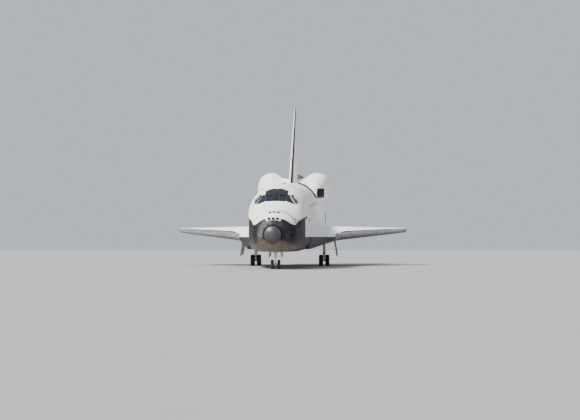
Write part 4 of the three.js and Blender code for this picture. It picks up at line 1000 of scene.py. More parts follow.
for x in (-0.42, 0.42):
    aft_windows.box((x - 0.17, BAY_FRONT + 0.004, 4.78), (x + 0.17, BAY_FRONT + 0.02, 5.1), 0.004)
    for x0, z0, x1, z1 in ((-0.22, 4.73, 0.22, 4.78), (-0.22, 5.1, 0.22, 5.15), (-0.22, 4.78, -0.17, 5.1),
                           (0.17, 4.78, 0.22, 5.1)):
        aft_frames.box((x + x0, BAY_FRONT + 0.001, z0), (x + x1, BAY_FRONT + 0.035, z1), 0.004)
piece("bay_windows", aft_windows, GLASS, "window_glass")
piece("bay_window_frames", aft_frames, FRAME_BLACK, "mid_tiles")

# Payload bay doors
DOOR_GAP = 0.006


def door_rows(y, inset, start=0.003, low=SILL + DOOR_GAP, count=44):
    half, bottom, side, top, lower, upper = hull(y)
    x, z = half_ring(half - inset, bottom + inset, side, top - inset, lower, upper, 400)
    keep = (z > low) & (x > start)
    return [Vector((px, y, pz)) for px, pz in zip(*evenly(x[keep], z[keep], count))]


stations = spread(BAY_FRONT + DOOR_GAP, BAY_BACK - DOOR_GAP, 1.2)
door = Shape().loft([door_rows(y, 0) + door_rows(y, DOOR_SKIN)[::-1] for y in stations])
notch, hinge, fixed_hinge, radiators, latches = (Shape() for _ in range(5))
for y in HINGES:
    hinge.pin(DOOR_PIN, y - KNUCKLE, y + KNUCKLE, DOOR_PIN_RADIUS)
    hinge.box((2.53, y - KNUCKLE, 3.768), (2.65, y + KNUCKLE, 3.82), 0.005)
    for at in (y - 0.26, y + 0.26):
        notch.pin(DOOR_PIN, at - 0.142, at + 0.142, DOOR_PIN_HOLE)
        fixed_hinge.pin(DOOR_PIN, at - KNUCKLE, at + KNUCKLE, DOOR_PIN_RADIUS)
        fixed_hinge.box((2.56, at - KNUCKLE, 3.7), (2.66, at + KNUCKLE, 3.764), 0.005)
piece("bay_hinge_roots", fixed_hinge.both(), STEEL, "mid_tiles")
panels_at = np.linspace(BAY_FRONT + 0.05, BAY_BACK - 0.05, 5)
for y0, y1 in zip(panels_at, panels_at[1:]):
    rings = [[door_rows(y, d, 0.16, 4.05, 30) for d in (0.115, 0.14)] for y in (y0 + 0.06, y1 - 0.06)]
    radiators.loft([outer + inner[::-1] for outer, inner in rings])
for y in spread(BAY_FRONT + 0.4, BAY_BACK - 0.4, 1.15):
    latches.box((0.02, y - 0.05, 5.62), (0.12, y + 0.05, 5.7), 0.008)
    latches.pin((0.07, 5.61), y - 0.08, y + 0.08, 0.014, sides=12)
pair("bay_door_skin_*", door, DOOR_PAINT, "door_skin", "payload_door_*", "payload_door_*", [notch])
pair("bay_door_hinges_*", hinge, STEEL, "door_skin", "payload_door_*")
pair("bay_door_radiators_*", radiators, RADIATOR, "door_skin", "payload_door_*")
pair("bay_door_latches_*", latches, STEEL, "door_skin", "payload_door_*")

# Wings

WING_TIP, TIP_BOTTOM = 11.895, 0.635
HINGE_Y = 29.185
ELEVON_IN, ELEVON_MID, ELEVON_OUT = 3.734, 7.938, 11.717
COVE = 0.012


def leading_edge(x):
    """The glove's steep edge and the wing's own, blended at the kink, with the corner at the tip cut back."""
    glove = 6.655 + max(x - BODY_HALF, 0) * 6.31
    wing = WING_EDGE + x
    tip = max(x - 11.5, 0) * 1.1
    return 20 - 0.9 * math.log(math.exp((20 - glove) / 0.9) + math.exp((20 - wing) / 0.9)) + tip


def span_share(x):
    return max(0.0, (x - BODY_HALF) / (WING_TIP - BODY_HALF))


def elevon_share(x):
    return (x - ELEVON_IN) / (ELEVON_OUT - ELEVON_IN)


def hinge_half(x):
    return lerp(0.253, 0.148, elevon_share(x))


def hinge_z(x):
    return lerp(0.325, 0.772, elevon_share(x))


def wing_surface(x):
    """Upper and lower outline of the fixed wing at x: functions from y to height."""
    front, back = leading_edge(x), HINGE_Y - 0.62 * hinge_half(x)
    crest = min(lerp(22.8, 28.4, span_share(x)), back - 0.3)
    bottom = span_share(x) * TIP_BOTTOM
    thick = lerp(1.5, 0.405, span_share(x))
    soft = min(max((x - 3) / 2.6, 0.12), 1)
    nose = 0.26 * thick * lerp(0.45, 1, soft)
    rear = 2 * hinge_half(x) * 1.04

    def upper(y):
        if y >= crest:
            return bottom + lerp(thick, rear, ((y - crest) / (back - crest)) ** 1.15)
        s = max(0.0, (y - front) / (crest - front))
        return bottom + nose * (1 - s) + thick * lerp(s**0.8, math.sqrt(1 - (1 - s) ** 2), soft)

    def lower(y):
        s = max(0.0, (y - front) / (crest - front))
        return bottom + nose * max(0.0, 1 - s / 0.25) ** 2

    return front, crest, back, upper, lower


def edge_depth(x):
    return 0.42 * min(max((x - 2.6) / 2.4, 0.3), 1) * (1.6 if x < 5 else 1)


def wing_ring(x):
    """Fixed wing behind its leading edge panels, with the hollow for the elevon's round nose."""
    front, crest, back, upper, lower = wing_surface(x)
    ahead = [lerp(front + edge_depth(x), crest, t) for t in np.linspace(0, 1, 20) ** 1.5]
    stations = ahead + [lerp(crest, back, t) for t in np.linspace(0, 1, 8)[1:]]
    top = [(x, y, upper(y)) for y in stations]
    bottom = [(x, y, lower(y)) for y in stations[::-1]]
    radius, z = hinge_half(x) + COVE, hinge_z(x)
    reach = math.acos((HINGE_Y - back) / radius)
    cove = [(x, HINGE_Y - radius * math.cos(a), z + radius * math.sin(a)) for a in np.linspace(reach, -reach, 15)]
    return top + cove + bottom


def edge_ring(x, shrink=0.0):
    """Curved strip around the wing's front edge."""
    front, _, _, upper, lower = wing_surface(x)
    depth = edge_depth(x) - 0.006
    s = np.linspace(0, 1, 12) ** 2
    top = [Vector((x, front + depth * t, upper(front + depth * t) - shrink)) for t in s]
    bottom = [Vector((x, front + depth * t, lower(front + depth * t) + shrink)) for t in s[1:]]
    if shrink:
        top[0] = top[0] + Vector((0, shrink, shrink))
    return bottom[::-1] + top


stations = {2.15, 2.4, BODY_HALF, *spread(2.8, 6.0, 0.16), *spread(6.0, 11.5, 0.34), *spread(11.5, WING_TIP, 0.08)}
wing_shape = Shape().loft([wing_ring(x) for x in sorted(stations)])
main_well = Shape().box((2.7, 20.371, -1), (4.572, 24.206, 1.15), 0.001)
panels, glove_edges, seals, lugs = (Shape() for _ in range(4))
GLOVE_END = 4.6
cuts_at = [2.62, 3.0, 3.35, 3.75, 4.2, 4.7] + spread(5.2, WING_TIP - 0.001, 0.45)
for x0, x1 in zip(cuts_at, cuts_at[1:]):
    inner = [x0 + 0.009, *spread(x0, x1, 0.12)[1:-1], x1 - 0.009]
    (panels if x0 > GLOVE_END else glove_edges).loft([edge_ring(x) for x in inner])
for x in cuts_at[1:-1]:
    if x > GLOVE_END:
        seals.loft([edge_ring(t, 0.012) for t in (x - 0.03, x + 0.03)])
spans = {"inboard": (ELEVON_IN, ELEVON_MID - 0.01), "outboard": (ELEVON_MID + 0.01, ELEVON_OUT)}
LUG_AT = {name: [lerp(a, b, t) for t in (0.2, 0.8)] for name, (a, b) in spans.items()}
LUG_WIDTH, LUG_SHARE = 0.08, 0.78


def wedge_ring(x, middle, radius, chord, lift, edge):
    """Section of a hinged flap: a round nose ahead of the hinge and a wedge behind it."""
    y, z = middle
    nose = [(x, y + radius * math.cos(a), z + radius * math.sin(a))
            for a in np.linspace(math.radians(80), math.radians(270), 28)]
    return nose + [(x, y + chord, z + lift - radius), (x, y + chord, z + lift + edge - radius)]


def lug(x, middle, radius, width):
    """Ear on the fixed side of a hinge, with its round end about the hinge line."""
    y, z = middle
    made = Shape().rod((x - width / 2, y, z), (x + width / 2, y, z), LUG_SHARE * radius, sides=24)
    return made.box((x - width / 2, y - radius - 0.06, z - 0.6 * radius), (x + width / 2, y, z + 0.6 * radius), 0.004)


def slot(x, middle, radius, width):
    """Two cutters that make room for a lug."""
    y, z = middle
    wide = width / 2 + HAIR
    made = Shape().box((x - wide, y - 2 * radius, z - 1.4 * radius), (x + wide, y, z + 1.4 * radius), 0.0001)
    return made, Shape().rod((x - wide, y, z), (x + wide, y, z), LUG_SHARE * radius + COVE, sides=28)


def on_hinge(shape, x):
    """The shape moved to the elevons' hinge line, which rises outboard."""
    rise = math.atan2(hinge_z(ELEVON_OUT) - hinge_z(ELEVON_IN), ELEVON_OUT - ELEVON_IN)
    return Shape().join(shape, Matrix.Translation((x, HINGE_Y, hinge_z(x))) @ Matrix.Rotation(-rise, 4, "Y"))


for name, (x0, x1) in spans.items():
    rings = [wedge_ring(x, (HINGE_Y, hinge_z(x)), hinge_half(x), 32.842 - 0.1773 * x - HINGE_Y, 0.01, 0.06)
             for x in spread(x0, x1, 0.3)]
    cuts = []
    for x in LUG_AT[name]:
        lugs.join(on_hinge(lug(0, (0, 0), hinge_half(x), LUG_WIDTH), x))
        cuts += [on_hinge(cut, x) for cut in slot(0, (0, 0), hinge_half(x), LUG_WIDTH)]
    body = f"elevon_{name}_*"
    pair(f"elevon_skin_{name}_*", Shape().loft(rings), ELEVON_PAINT, "elevon_tiles", body, body, cuts)
pair("wing_skin_*", wing_shape, WING_PAINT, "wing_tiles", stands_for="wing_*", cuts=[main_well])
pair("wing_edge_panels_*", panels, EDGE_CARBON, "edge_carbon", stands_for="wing_leading_edge_*", sharp=50)
pair("glove_edge_tiles_*", glove_edges, WING_PAINT, "edge_carbon")
pair("wing_edge_seals_*", seals, SEAL, "edge_carbon")
pair("elevon_lugs_*", lugs, STEEL, "wing_tiles")


def carved(shape, keep=(), cuts=()):
    """The shape left after booleans, as a shape again."""
    obj = bare_object("carved", shape)
    carve(obj, keep, "INTERSECT")
    carve(obj, cuts)
    made = Shape().add([v.co for v in obj.data.vertices], [list(f.vertices) for f in obj.data.polygons])
    mesh = obj.data
    bpy.data.objects.remove(obj)
    bpy.data.meshes.remove(mesh)
    return made


def prism(outline, half):
    """Outline of (y, z) points, made as wide as 2 * half."""
    return Shape().loft([[(x, y, z) for y, z in outline] for x in (-half, half)])


# Base, with its two canted planes, and the aft body. Each engine has a pivot and an upward tilt
ENGINES = {
    "upper": ((0, 30.658, 4.47), math.radians(16)),
    "port": ((1.346, 31.242, 1.92), math.radians(10)),
    "starboard": ((-1.346, 31.242, 1.92), math.radians(10)),
}
PIVOT_HOLE, STUB_TOP = 1.145, 0.9
FLAP_AT, FLAP_RADIUS, FLAP_CHORD = (32.868, 0.508), 0.3, 2.057
FLAP_LUGS, FLAP_LUG_WIDTH = (-2, 2), 0.12


def base_outline(offset):
    planes = []
    for name in ("port", "upper"):
        (_, y, z), pitch = ENGINES[name]
        reach = 0.85 + offset
        planes.append((y + reach * math.cos(pitch), z + reach * math.sin(pitch), math.tan(pitch)))
    at = [lambda h, p=p: p[0] - (h - p[1]) * p[2] for p in planes]
    knee = (at[1](0) - at[0](0)) / (planes[1][2] - planes[0][2])
    return [(20, -0.5), (at[0](-0.5), -0.5), (at[0](knee), knee), (at[1](6.5), 6.5), (20, 6.5)]


aft = carved(hull_loft(BAY_BACK + HAIR, 33, 0, 0.2, count=61), [prism(base_outline(0), 4)],
             [hull_loft(BAY_BACK + 0.1, 33.5, 0.1, 0.3)])
piece("aft_skin", aft, SKIN, "aft_tiles", stands_for=["aft_fuselage"])
stub = prism([(31.488, 0.15), (31.488, STUB_TOP), (32.288, STUB_TOP), (32.688, 0.79), (32.688, 0.2)], 3.065)
stub = carved(stub, cuts=[Shape().rod((-3.2, *FLAP_AT), (3.2, *FLAP_AT), 0.312, sides=64)])
for x in FLAP_LUGS:
    stub.join(lug(x, FLAP_AT, FLAP_RADIUS, FLAP_LUG_WIDTH))
piece("body_flap_shelf", stub, BLACK_TILE, "aft_tiles")
beams = Shape()
for (x, y, z), _ in ENGINES.values():
    beams.box((x - 0.42, BAY_BACK + 0.06, z - 0.3), (x + 0.42, y - 0.26, z + 0.3), 0.02)
    for offset in (-0.33, 0.33):
        beams.box((x + offset - 0.09, y - 0.4, z - 0.15), (x + offset + 0.09, y + 0.15, z + 0.15), 0.015)
piece("thrust_beams", beams, RIB, "aft_tiles")
pads = Shape()
pad = [(-0.025, 0), (-0.025, 0.06), (-0.015, 0.07), (-0.015, 0.12), (-0.025, 0.13), (-0.018, 0.16), (0.3, 0.16),
       (0.3, 0)]
for x, y in ((0, 5.7), (2.451, 27.457), (-2.451, 27.457)):
    pads.turned(pad, Matrix.Translation((x, y, 0)), 36)
piece("tank_pads", pads, STEEL, "aft_tiles")


def ball(centre, radius):
    angles = np.linspace(0, math.pi, 26)
    return Shape().turned([(-radius * math.cos(a), radius * math.sin(a)) for a in angles],
                          Matrix.Translation(centre), 64)


plate = carved(prism(base_outline(0.1), 4), [hull_loft(28, 33.4, 0.04, 0.3)],
               [prism(base_outline(HAIR), 4.1), Shape().box((-4, 30, -0.5), (4, 34, STUB_TOP + HAIR), 0.001),
                *[ball(place, PIVOT_HOLE) for place, _ in ENGINES.values()]])
piece("base_tiles", plate, BASE_TILES, "base_tiles", stands_for=["base_heat_shield"])

rings = [wedge_ring(x, FLAP_AT, FLAP_RADIUS, FLAP_CHORD, 0.06, 0.07) for x in spread(-3.059, 3.059, 0.35)]
cuts = [cut for x in FLAP_LUGS for cut in slot(x, FLAP_AT, FLAP_RADIUS, FLAP_LUG_WIDTH)]
piece("body_flap_skin", Shape().loft(rings), ELEVON_PAINT, "flap_tiles", "body_flap", ["body_flap"], cuts)

# Main engines: the round shield at their root, bell, bands and pipes, blankets
BELL_START, BELL_END = 1.03, 4.267
SHIELD_RADIUS = 1.1


def bell_radius(s):
    return lerp(0.4, 1.152, s**0.62)


def hoop(z, r, dz, dr):
    """Oval section of a ring around a bell."""
    return [(z + dz * math.cos(a), r + dr * math.sin(a)) for a in np.linspace(0, 2 * math.pi, 13)[:-1]]


dome = [(-0.12, 0), (-0.12, 0.18), (0.3, 0.2), (0.5, 0.33), (0.543, 0.873)]
dome += [(SHIELD_RADIUS * math.cos(a), SHIELD_RADIUS * math.sin(a))
         for a in np.linspace(math.radians(58), math.radians(21.4), 14)]
dome += [(1.0, 0.3), (0.8, 0)]
shares = np.linspace(0, 1, 30)
bell = [(BELL_START - 0.05, 0), (BELL_START - 0.05, 0.36)]
bell += [(lerp(BELL_START, BELL_END - 0.01, s), bell_radius(s)) for s in shares]
bell += [(BELL_END, 1.149), (BELL_END, 1.118)]
bell += [(lerp(BELL_START + 0.03, BELL_END - 0.01, s), bell_radius(s) - 0.042) for s in shares[::-1]]
bell += [(BELL_START + 0.03, 0)]
cover = [(0.94, 0.62), (0.985, 0.56), (1.02, 0.49), (1.0, 0.42), (0.95, 0.43), (0.9, 0.6)]
quilt = [(0.73, 0.86), (0.78, 0.83), (0.83, 0.78), (0.8, 0.74), (0.73, 0.79), (0.69, 0.84)]
for name, (place, pitch) in ENGINES.items():
    body = f"main_engine_{name}"
    m = facing(place, (0, math.cos(pitch), math.sin(pitch)))
    piece(f"{body}_shield", Shape().turned(dome, m, 64), SHIELD_TILES, "engine_metal", body)
    piece(f"{body}_bell", Shape().turned(bell, m, 80), BELL_METAL, "engine_metal", body, [body])
    bands = Shape()
    for s in (0.12, 0.2, 0.29, 0.38, 0.47, 0.57, 0.67, 0.78, 0.89):
        z, r = lerp(BELL_START, BELL_END, s), bell_radius(s)
        bands.turned([(z - 0.028, r - 0.01), (z - 0.02, r + 0.016), (z + 0.02, r + 0.022), (z + 0.03, r - 0.004)],
                     m, 80, wrap=True)
    bands.turned(hoop(BELL_END - 0.13, 1.137, 0.045, 0.03), m, 80, wrap=True)
    bands.turned(hoop(1.13, 0.455, 0.045, 0.045), m, 64, wrap=True)
    for k in range(6):
        a = math.radians(60 * k + 30)
        path = []
        for s in (0.03, 0.18, 0.4, 0.62, 0.82, 0.95):
            r = bell_radius(s) + 0.03
            path.append(m @ Vector((r * math.cos(a), r * math.sin(a), lerp(BELL_START, BELL_END, s))))
        bands.tube(path, 0.021, 8)
    piece(f"{body}_bands", bands, BELL_METAL, "engine_metal", body, sharp=50)
    soft = Shape().turned(cover, m, 72, wrap=True).turned(quilt, m, 72, wrap=True)
    piece(f"{body}_blankets", soft, BLANKET, "engine_metal", body, sharp=60)
    shaft = Shape().rod(m @ Vector((-0.2397, 0, 0)), m @ Vector((0.2397, 0, 0)), 0.09, sides=32)
    piece(f"{body}_gimbal", shaft, STEEL, "engine_metal", body)

# Fin and split rudder
FIN_TOP, FIN_TIP_BACK = 13.937, 37.236
RUDDER_LOW, RUDDER_HIGH = 7.65, 13.7
UNDER_FIN = [(31.6, 5), (31.6, 5.96), (32.65, 6.65), (34.3, 7.7), (36, 7.7), (36, 5)]


def fin_at(z):
    """Front, back and half thickness of the fin at a height."""
    t = (z - FIN_ROOT) / (FIN_TOP - FIN_ROOT)
    return lerp(FIN_FRONT, 34.481, t), lerp(FIN_BACK, FIN_TIP_BACK, t), lerp(0.33, 0.14, t)


fin_depth = smooth_table([[0, 0.05], [0.11, 0.24], [0.245, 0.44], [0.45, 0.76], [0.648, 1], [0.787, 1], [1, 0.06]])


def fin_ring(z, squeeze=1.0):
    front, back, half = fin_at(z)
    shares = np.linspace(0, 0.787, 22)[:-1].tolist() + [0.787, 0.84, 0.92, 1]
    swell = [1 + 0.36 * max(0.0, math.sin(math.pi * min(1, s * s / 0.6))) for s in shares]
    port = [(half * squeeze * w * fin_depth(s)[0], lerp(front, back, s * s), z) for s, w in zip(shares, swell)]
    return port + [(-x, y, z) for x, y, z in port[::-1]]


RUDDER_SHARE = 0.6


def hinge_point(z):
    front, back, _ = fin_at(z)
    return Vector((0, lerp(front, back, RUDDER_SHARE), z))


hinge_start, hinge_end = hinge_point(RUDDER_LOW), hinge_point(RUDDER_HIGH)
RUDDER_LENGTH = (hinge_end - hinge_start).length
UP = (hinge_end - hinge_start).normalized()
AFT = Vector((0, UP.z, -UP.y))
RUDDER = Matrix((UP, AFT, Vector((-1, 0, 0)))).transposed().to_4x4()
RUDDER.translation = hinge_start


def rudder_at(s):
    """Half thickness and chord of the rudder at a distance along its hinge."""
    front, back, half = fin_at(lerp(RUDDER_LOW, RUDDER_HIGH, s / RUDDER_LENGTH))
    return half, (back - lerp(front, back, RUDDER_SHARE)) * UP.z


blade = Shape().loft([fin_ring(z) for z in spread(5.2, 13.8, 0.4)]
                     + [fin_ring(z, squeeze) for z, squeeze in ((13.85, 1), (13.9, 0.8), (FIN_TOP, 0.35))])
rings = []
for s in (-0.03 - HAIR, RUDDER_LENGTH + 2):
    front = -rudder_at(s)[0] - 0.008
    rings.append([(s, front, -0.9), (s, front, 0.9), (s, 4, 0.9), (s, 4, -0.9)])
fin = carved(blade, cuts=[Shape().loft(rings, RUDDER), prism(UNDER_FIN, 0.9), hull_loft(24, 33, -HAIR, 0.3)])
piece("fin_skin", fin, FIN_PAINT, "fin_tiles", stands_for=["fin"])
r0, r1 = rudder_at(0)[0], rudder_at(RUDDER_LENGTH)[0]
tube = Shape().turned([(-0.03, 0), (-0.03, r0), (-HAIR, r0), (-HAIR, r0 - 0.06), (RUDDER_LENGTH, r1 - 0.06),
                       (RUDDER_LENGTH, 0)], facing(hinge_start, UP), 64)
piece("rudder_tube_fine", tube, RIB, "hinge_tube", "rudder", ["rudder_tube"])
panel_rings = []
for s in spread(0, RUDDER_LENGTH + 0.9, 0.5):
    half, chord = rudder_at(s)
    ring = [(s, 0, 0.004), (s, 0, half - 0.012), (s, 0.006, half - 0.003), (s, 0.02, half), (s, 0.06, half)]
    ring += [(s, lerp(0.06, chord, t), lerp(half, 0.06 * half + 0.018, t)) for t in np.linspace(0, 1, 12)[1:]]
    panel_rings.append(ring + [(s, chord, 0.004)])
above = RUDDER_LENGTH + 1
round_tube = drill(hinge_start, UP, -0.01, above, r0 - 0.054, rudder_at(above)[0] - 0.054, 64)
rudder_panel = carved(Shape().loft(panel_rings, RUDDER), [Shape().box((-0.9, 20, 5), (0.9, 40, FIN_TOP), 0.0001)],
                      [round_tube, prism(UNDER_FIN, 0.9)])
pair("rudder_panel_*", rudder_panel.mirror(), RUDDER_PAINT, "rudder_tiles", "rudder_half_*", "rudder_half_*")

# Pods on the shoulders
pod_table = smooth_table([
    [27.25, 2.05, 0.5, 0.5, 4.3, 4.7, 5.05], [27.7, 2.08, 1.1, 0.82, 3.95, 4.85, 5.75],
    [28.5, 2.12, 1.5, 1.18, 3.8, 4.95, 6.22], [29.6, 2.18, 1.68, 1.44, 3.72, 5.0, 6.62],
    [30.9, 2.2, 1.7, 1.63, 3.7, 5.05, 6.84], [32.1, 2.26, 1.3, 1.7, 3.75, 5.1, 6.87],
    [33.0, 2.28, 1.15, 1.62, 3.9, 5.2, 6.7], [33.6, 2.29, 1.05, 1.48, 4.15, 5.3, 6.42],
])
OMS, OMS_PITCH = Vector((2.235, 32.9, 5.56)), math.radians(12)


def pod_ring(y, shrink=1.0, at=None):
    x, inner, outer, bottom, side, top = pod_table(y)
    ring = []
    for i in range(72):
        a = 2 * math.pi * i / 72
        c, s = math.cos(a), math.sin(a)
        width, height = outer if c > 0 else inner, top - side if s > 0 else side - bottom
        power = 2 / (1.45 if c < 0 < s else 2.3)
        ring.append((x + shrink * width * signed_power(c, power), y if at is None else at,
                     side + shrink * height * signed_power(s, power)))
    return ring


def housing_ring(y, taper):
    corners = [(3.13 + taper, 4.7 + taper), (3.85 - taper, 4.62 + taper), (3.85 - taper, 5.48 - taper),
               (3.13 + taper, 5.56 - taper)]
    return [(p.x, y, p.y) for p in rounded(corners, 0.07)]


# Thrusters of the port pod, as for the nose
POD_JET = 0.11
POD_JETS = [((3.83, y, 5.05), (1, 0, 0.1), POD_JET) for y in (32.25, 32.62, 32.99, 33.36)]
for z, up in ((5.5, 1), (4.68, -1)):
    POD_JETS += [((3.5, y, z), (0.1, 0.05, up), POD_JET) for y in (32.9, 33.3, 33.7)]
POD_JETS += [((x, 34.14, 5.2), (0, 1, 0), POD_JET) for x in (3.36, 3.62)] + [((3.49, 34.14, 4.92), (0, 1, 0), 0.04)]
front = [(27.17, 0.05), (27.18, 0.3), (27.2, 0.6), (27.23, 0.84)]
rings = [pod_ring(max(y, 27.25), shrink, y) for y, shrink in front] + [pod_ring(y) for y in spread(27.27, 33.6, 0.12)]
inside_body = carved(hull_loft(24, 33.6, -HAIR, 0.3), [prism(base_outline(0.13), 4.2)])
recess = Shape().box(OMS - Vector((0.33, 0.25, 0.33)), OMS + Vector((0.33, 0.5, 0.33)), 0.001)
OMS_MOUTH = OMS + Vector((0, 0, 0.09))
mouth = drill(OMS_MOUTH, (0, 1, 0), 0.1, 0.8, 0.42, 0.62, 64)
pod = carved(Shape().loft(rings), cuts=[inside_body, recess, mouth])
housing = Shape().loft([housing_ring(*row) for row in ((31.9, 0), (33.2, 0.03), (34.13, 0.085), (34.15, 0.1))])
jet_bores, jets, jet_rims = Shape(), Shape(), Shape()
for place, direction, radius in POD_JETS:
    jet_bores.join(bore(place, direction, radius))
    jets.join(thruster(place, direction, radius))
    jet_rims.turned([(-0.01, radius), (0.006, radius * 1.03), (0.006, radius * 1.16), (-0.015, radius * 1.2)],
                    facing(place, direction), 28, wrap=True)


def root_ring(y):
    """Section of the hollow slope between a pod and the fin. It rises from the body, then curls up to the pod."""
    steps = [min(max((y - start) / 2.4, 0), 1) for start in (27.45, 28.4)]
    rise, curl = [t * t * (3 - 2 * t) for t in steps]
    top = []
    for x in np.linspace(0.1, 1.62, 20):
        slope = lerp(0.1, 0.42, curl) * (max(0, x - 0.5) / 1.25) ** 2
        top.append((x, y, 5.76 + rise * (0.44 + slope) - 0.16 * max(0, (x - 1.42) / 0.2) ** 2))
    return top + [(1.62, y, 5.1), (0.1, y, 5.1)]


pod_root = carved(Shape().loft([root_ring(y) for y in spread(27.45, 31.0, 0.15)]), cuts=[inside_body])
# Raised band behind the payload doors: y, depth below the body's surface
band_rows = [(27.16, 0.02), (27.163, -0.1), (27.18, -0.14), (27.24, -0.155), (27.4, -0.15), (27.75, -0.09),
             (28.15, 0.03)]
band = carved(Shape().loft([hull_ring(y, inset, count=61) for y, inset in band_rows]),
              [Shape().box((0.62, 27, 4.22), (2.95, 28.3, 6.3), 0.001)], [inside_body])
housing = carved(housing, cuts=[jet_bores])
jet_rims.turned([(0.69, 0.585), (0.69, 0.6), (0.715, 0.61), (0.715, 0.595)], facing(OMS_MOUTH, (0, 1, 0)), 64,
                wrap=True)


def oms_radius(s):
    return lerp(0.16, 0.585, s**0.6)


oms_shares = np.linspace(0, 1, 22)
profile = [(-0.12, 0), (-0.12, 0.11), (0.18, 0.11), (0.32, 0.15)]
profile += [(lerp(0.4, 1.742, s), oms_radius(s)) for s in oms_shares] + [(1.75, 0.583), (1.75, 0.562)]
profile += [(lerp(0.44, 1.742, s), oms_radius(s) - 0.026) for s in oms_shares[:0:-1]] + [(0.46, 0)]
oms_bell = Shape().turned(profile, None, 64)
for s in (0.3, 0.5, 0.72, 0.93):
    z, r = lerp(0.4, 1.75, s), oms_radius(s)
    oms_bell.turned([(z - 0.014, r - 0.004), (z - 0.01, r + 0.01), (z + 0.012, r + 0.012), (z + 0.016, r)], None, 64,
                    wrap=True)
oms_bell.rod((-0.3297, 0, 0), (0.3297, 0, 0), 0.06, sides=28)
oms_engine = Shape().join(oms_bell, facing(OMS, (0, math.cos(OMS_PITCH), math.sin(OMS_PITCH))))
pair("pod_skin_*", pod, POD_PAINT, "pod_skin", stands_for="oms_pod_*")
pair("pod_root_*", pod_root, POD_PAINT, "pod_skin")
pair("bay_end_band_*", band, BAND_PAINT, "pod_skin")
pair("pod_thruster_housing_*", housing, HOUSING_PAINT, "pod_skin")
pair("pod_thruster_rims_*", jet_rims, FRAME_BLACK, "pod_skin")
pair("pod_thrusters_*", jets, NOZZLE, "engine_metal")
pair("pod_engine_*", oms_engine, OMS_METAL, "engine_metal", "oms_engine_*", "oms_engine_*")

# Landing gear


def axle_at(x, y, radius):
    """Axle of a wheel that stands on the ground."""
    return Vector((x, y, (radius - ORIGIN.z - y * math.sin(PITCH)) / math.cos(PITCH)))


NOSE_Y, NOSE_RADIUS, NOSE_TRACK = 3.556, 0.4065, 0.2795
MAIN_X, MAIN_Y, MAIN_RADIUS, MAIN_TRACK = 3.456, 23.4, 0.565, 0.32
NOSE_AXLE, MAIN_AXLE = axle_at(0, NOSE_Y, NOSE_RADIUS), axle_at(MAIN_X, MAIN_Y, MAIN_RADIUS)
WELL_ROOF = 1.1497


def tyre(centre, radius, width, rim, grooves):
    w = width / 2
    crown = []
    for t in np.linspace(-1, 1, 41):
        a = t * 0.72 * w
        dip = 0.012 if any(abs(a - g * width) < 0.016 for g in grooves) else 0
        crown.append((a, radius - 0.012 * t * t - dip))
    flank = [(0.86, radius - 0.035)] + [(share, lerp(rim, radius, rise)) for share, rise in
                                        ((0.96, 0.76), (1, 0.52), (0.985, 0.3), (0.92, 0.13))]
    side = [(share * w, r) for share, r in flank + [(0.85, rim + 0.012), (0.8, rim + 0.001)]]
    profile = [(-a, r) for a, r in side[::-1]] + crown + side
    return Shape().turned(profile, facing(centre, (1, 0, 0)), 96, wrap=True)


def hub(centre, radius, width, out):
    """Wheel of light alloy: rim, dished disc, bolts and cap. Its outer face looks along out."""
    m = facing(centre, (out, 0, 0))
    w = width / 2 - 0.02
    profile = [(-w, 0.9), (-w, 1), (-w + 0.02, 1), (-w + 0.03, 0.94), (w - 0.03, 0.94), (w - 0.02, 1), (w, 1),
               (w, 0.9), (w - 0.035, 0.84), (w - 0.07, 0.6), (w - 0.03, 0.36), (w - 0.03, 0), (w - 0.09, 0),
               (w - 0.1, 0.4), (w - 0.12, 0.62), (w - 0.09, 0.8), (-w + 0.03, 0.84)]
    made = Shape().turned([(z, radius * share) for z, share in profile], m, 64, wrap=True)
    cap = [(w - 0.04, 0), (w - 0.04, 0.26), (w + 0.012, 0.24), (w + 0.022, 0.16), (w + 0.022, 0)]
    made.turned([(z, radius * share) for z, share in cap], m, 32)
    for k in range(10):
        a = 2 * math.pi * k / 10
        for r, size, low, high in ((0.42, 0.035, -0.035, -0.012), (0.75, 0.05, -0.07, -0.035)):
            p = Vector((radius * r * math.cos(a), radius * r * math.sin(a), w + low))
            made.rod(m @ p, m @ (p + Vector((0, 0, high - low))), radius * size, sides=6, edge=0.002)
    return made


def brake(centre, radius, side):
    """Stack of discs on the inner side of a main wheel."""
    made = Shape()
    for k in range(5):
        x = centre.x - side * (0.06 + 0.03 * k)
        size = radius * (0.82 - 0.05 * (k % 2))
        made.rod((x, centre.y, centre.z), (x - side * 0.018, centre.y, centre.z), size, sides=40)
    return made


def across(middle, half):
    """Ends of a bar across the craft."""
    return middle - Vector((half, 0, 0)), middle + Vector((half, 0, 0))


def torque_links(axle, top, bottom, knee, width):
    """Scissor of two arms with a pin at the knee. Its three points are (y, z) from the axle."""
    top, bottom, knee = (axle + Vector((0, *point)) for point in (top, bottom, knee))
    made = Shape()
    for a, b in ((top, knee), (bottom, knee)):
        for s in (-1, 1):
            made.rod(a + Vector((s * width, 0, 0)), b + Vector((s * width * 0.45, 0, 0)), 0.022, 0.016, 10)
        made.rod(*across(a, width * 1.2), 0.018, sides=14)
    return made.rod(*across(knee, width * 0.8), 0.02, sides=14)


def collar(centre, radius, low, high):
    profile = [(low, 0.9), (low, 1.14), (low + 0.012, 1.2), (high - 0.012, 1.2), (high, 1.14), (high, 0.9)]
    return Shape().turned([(z, radius * share) for z, share in profile], Matrix.Translation(centre), 40, wrap=True)


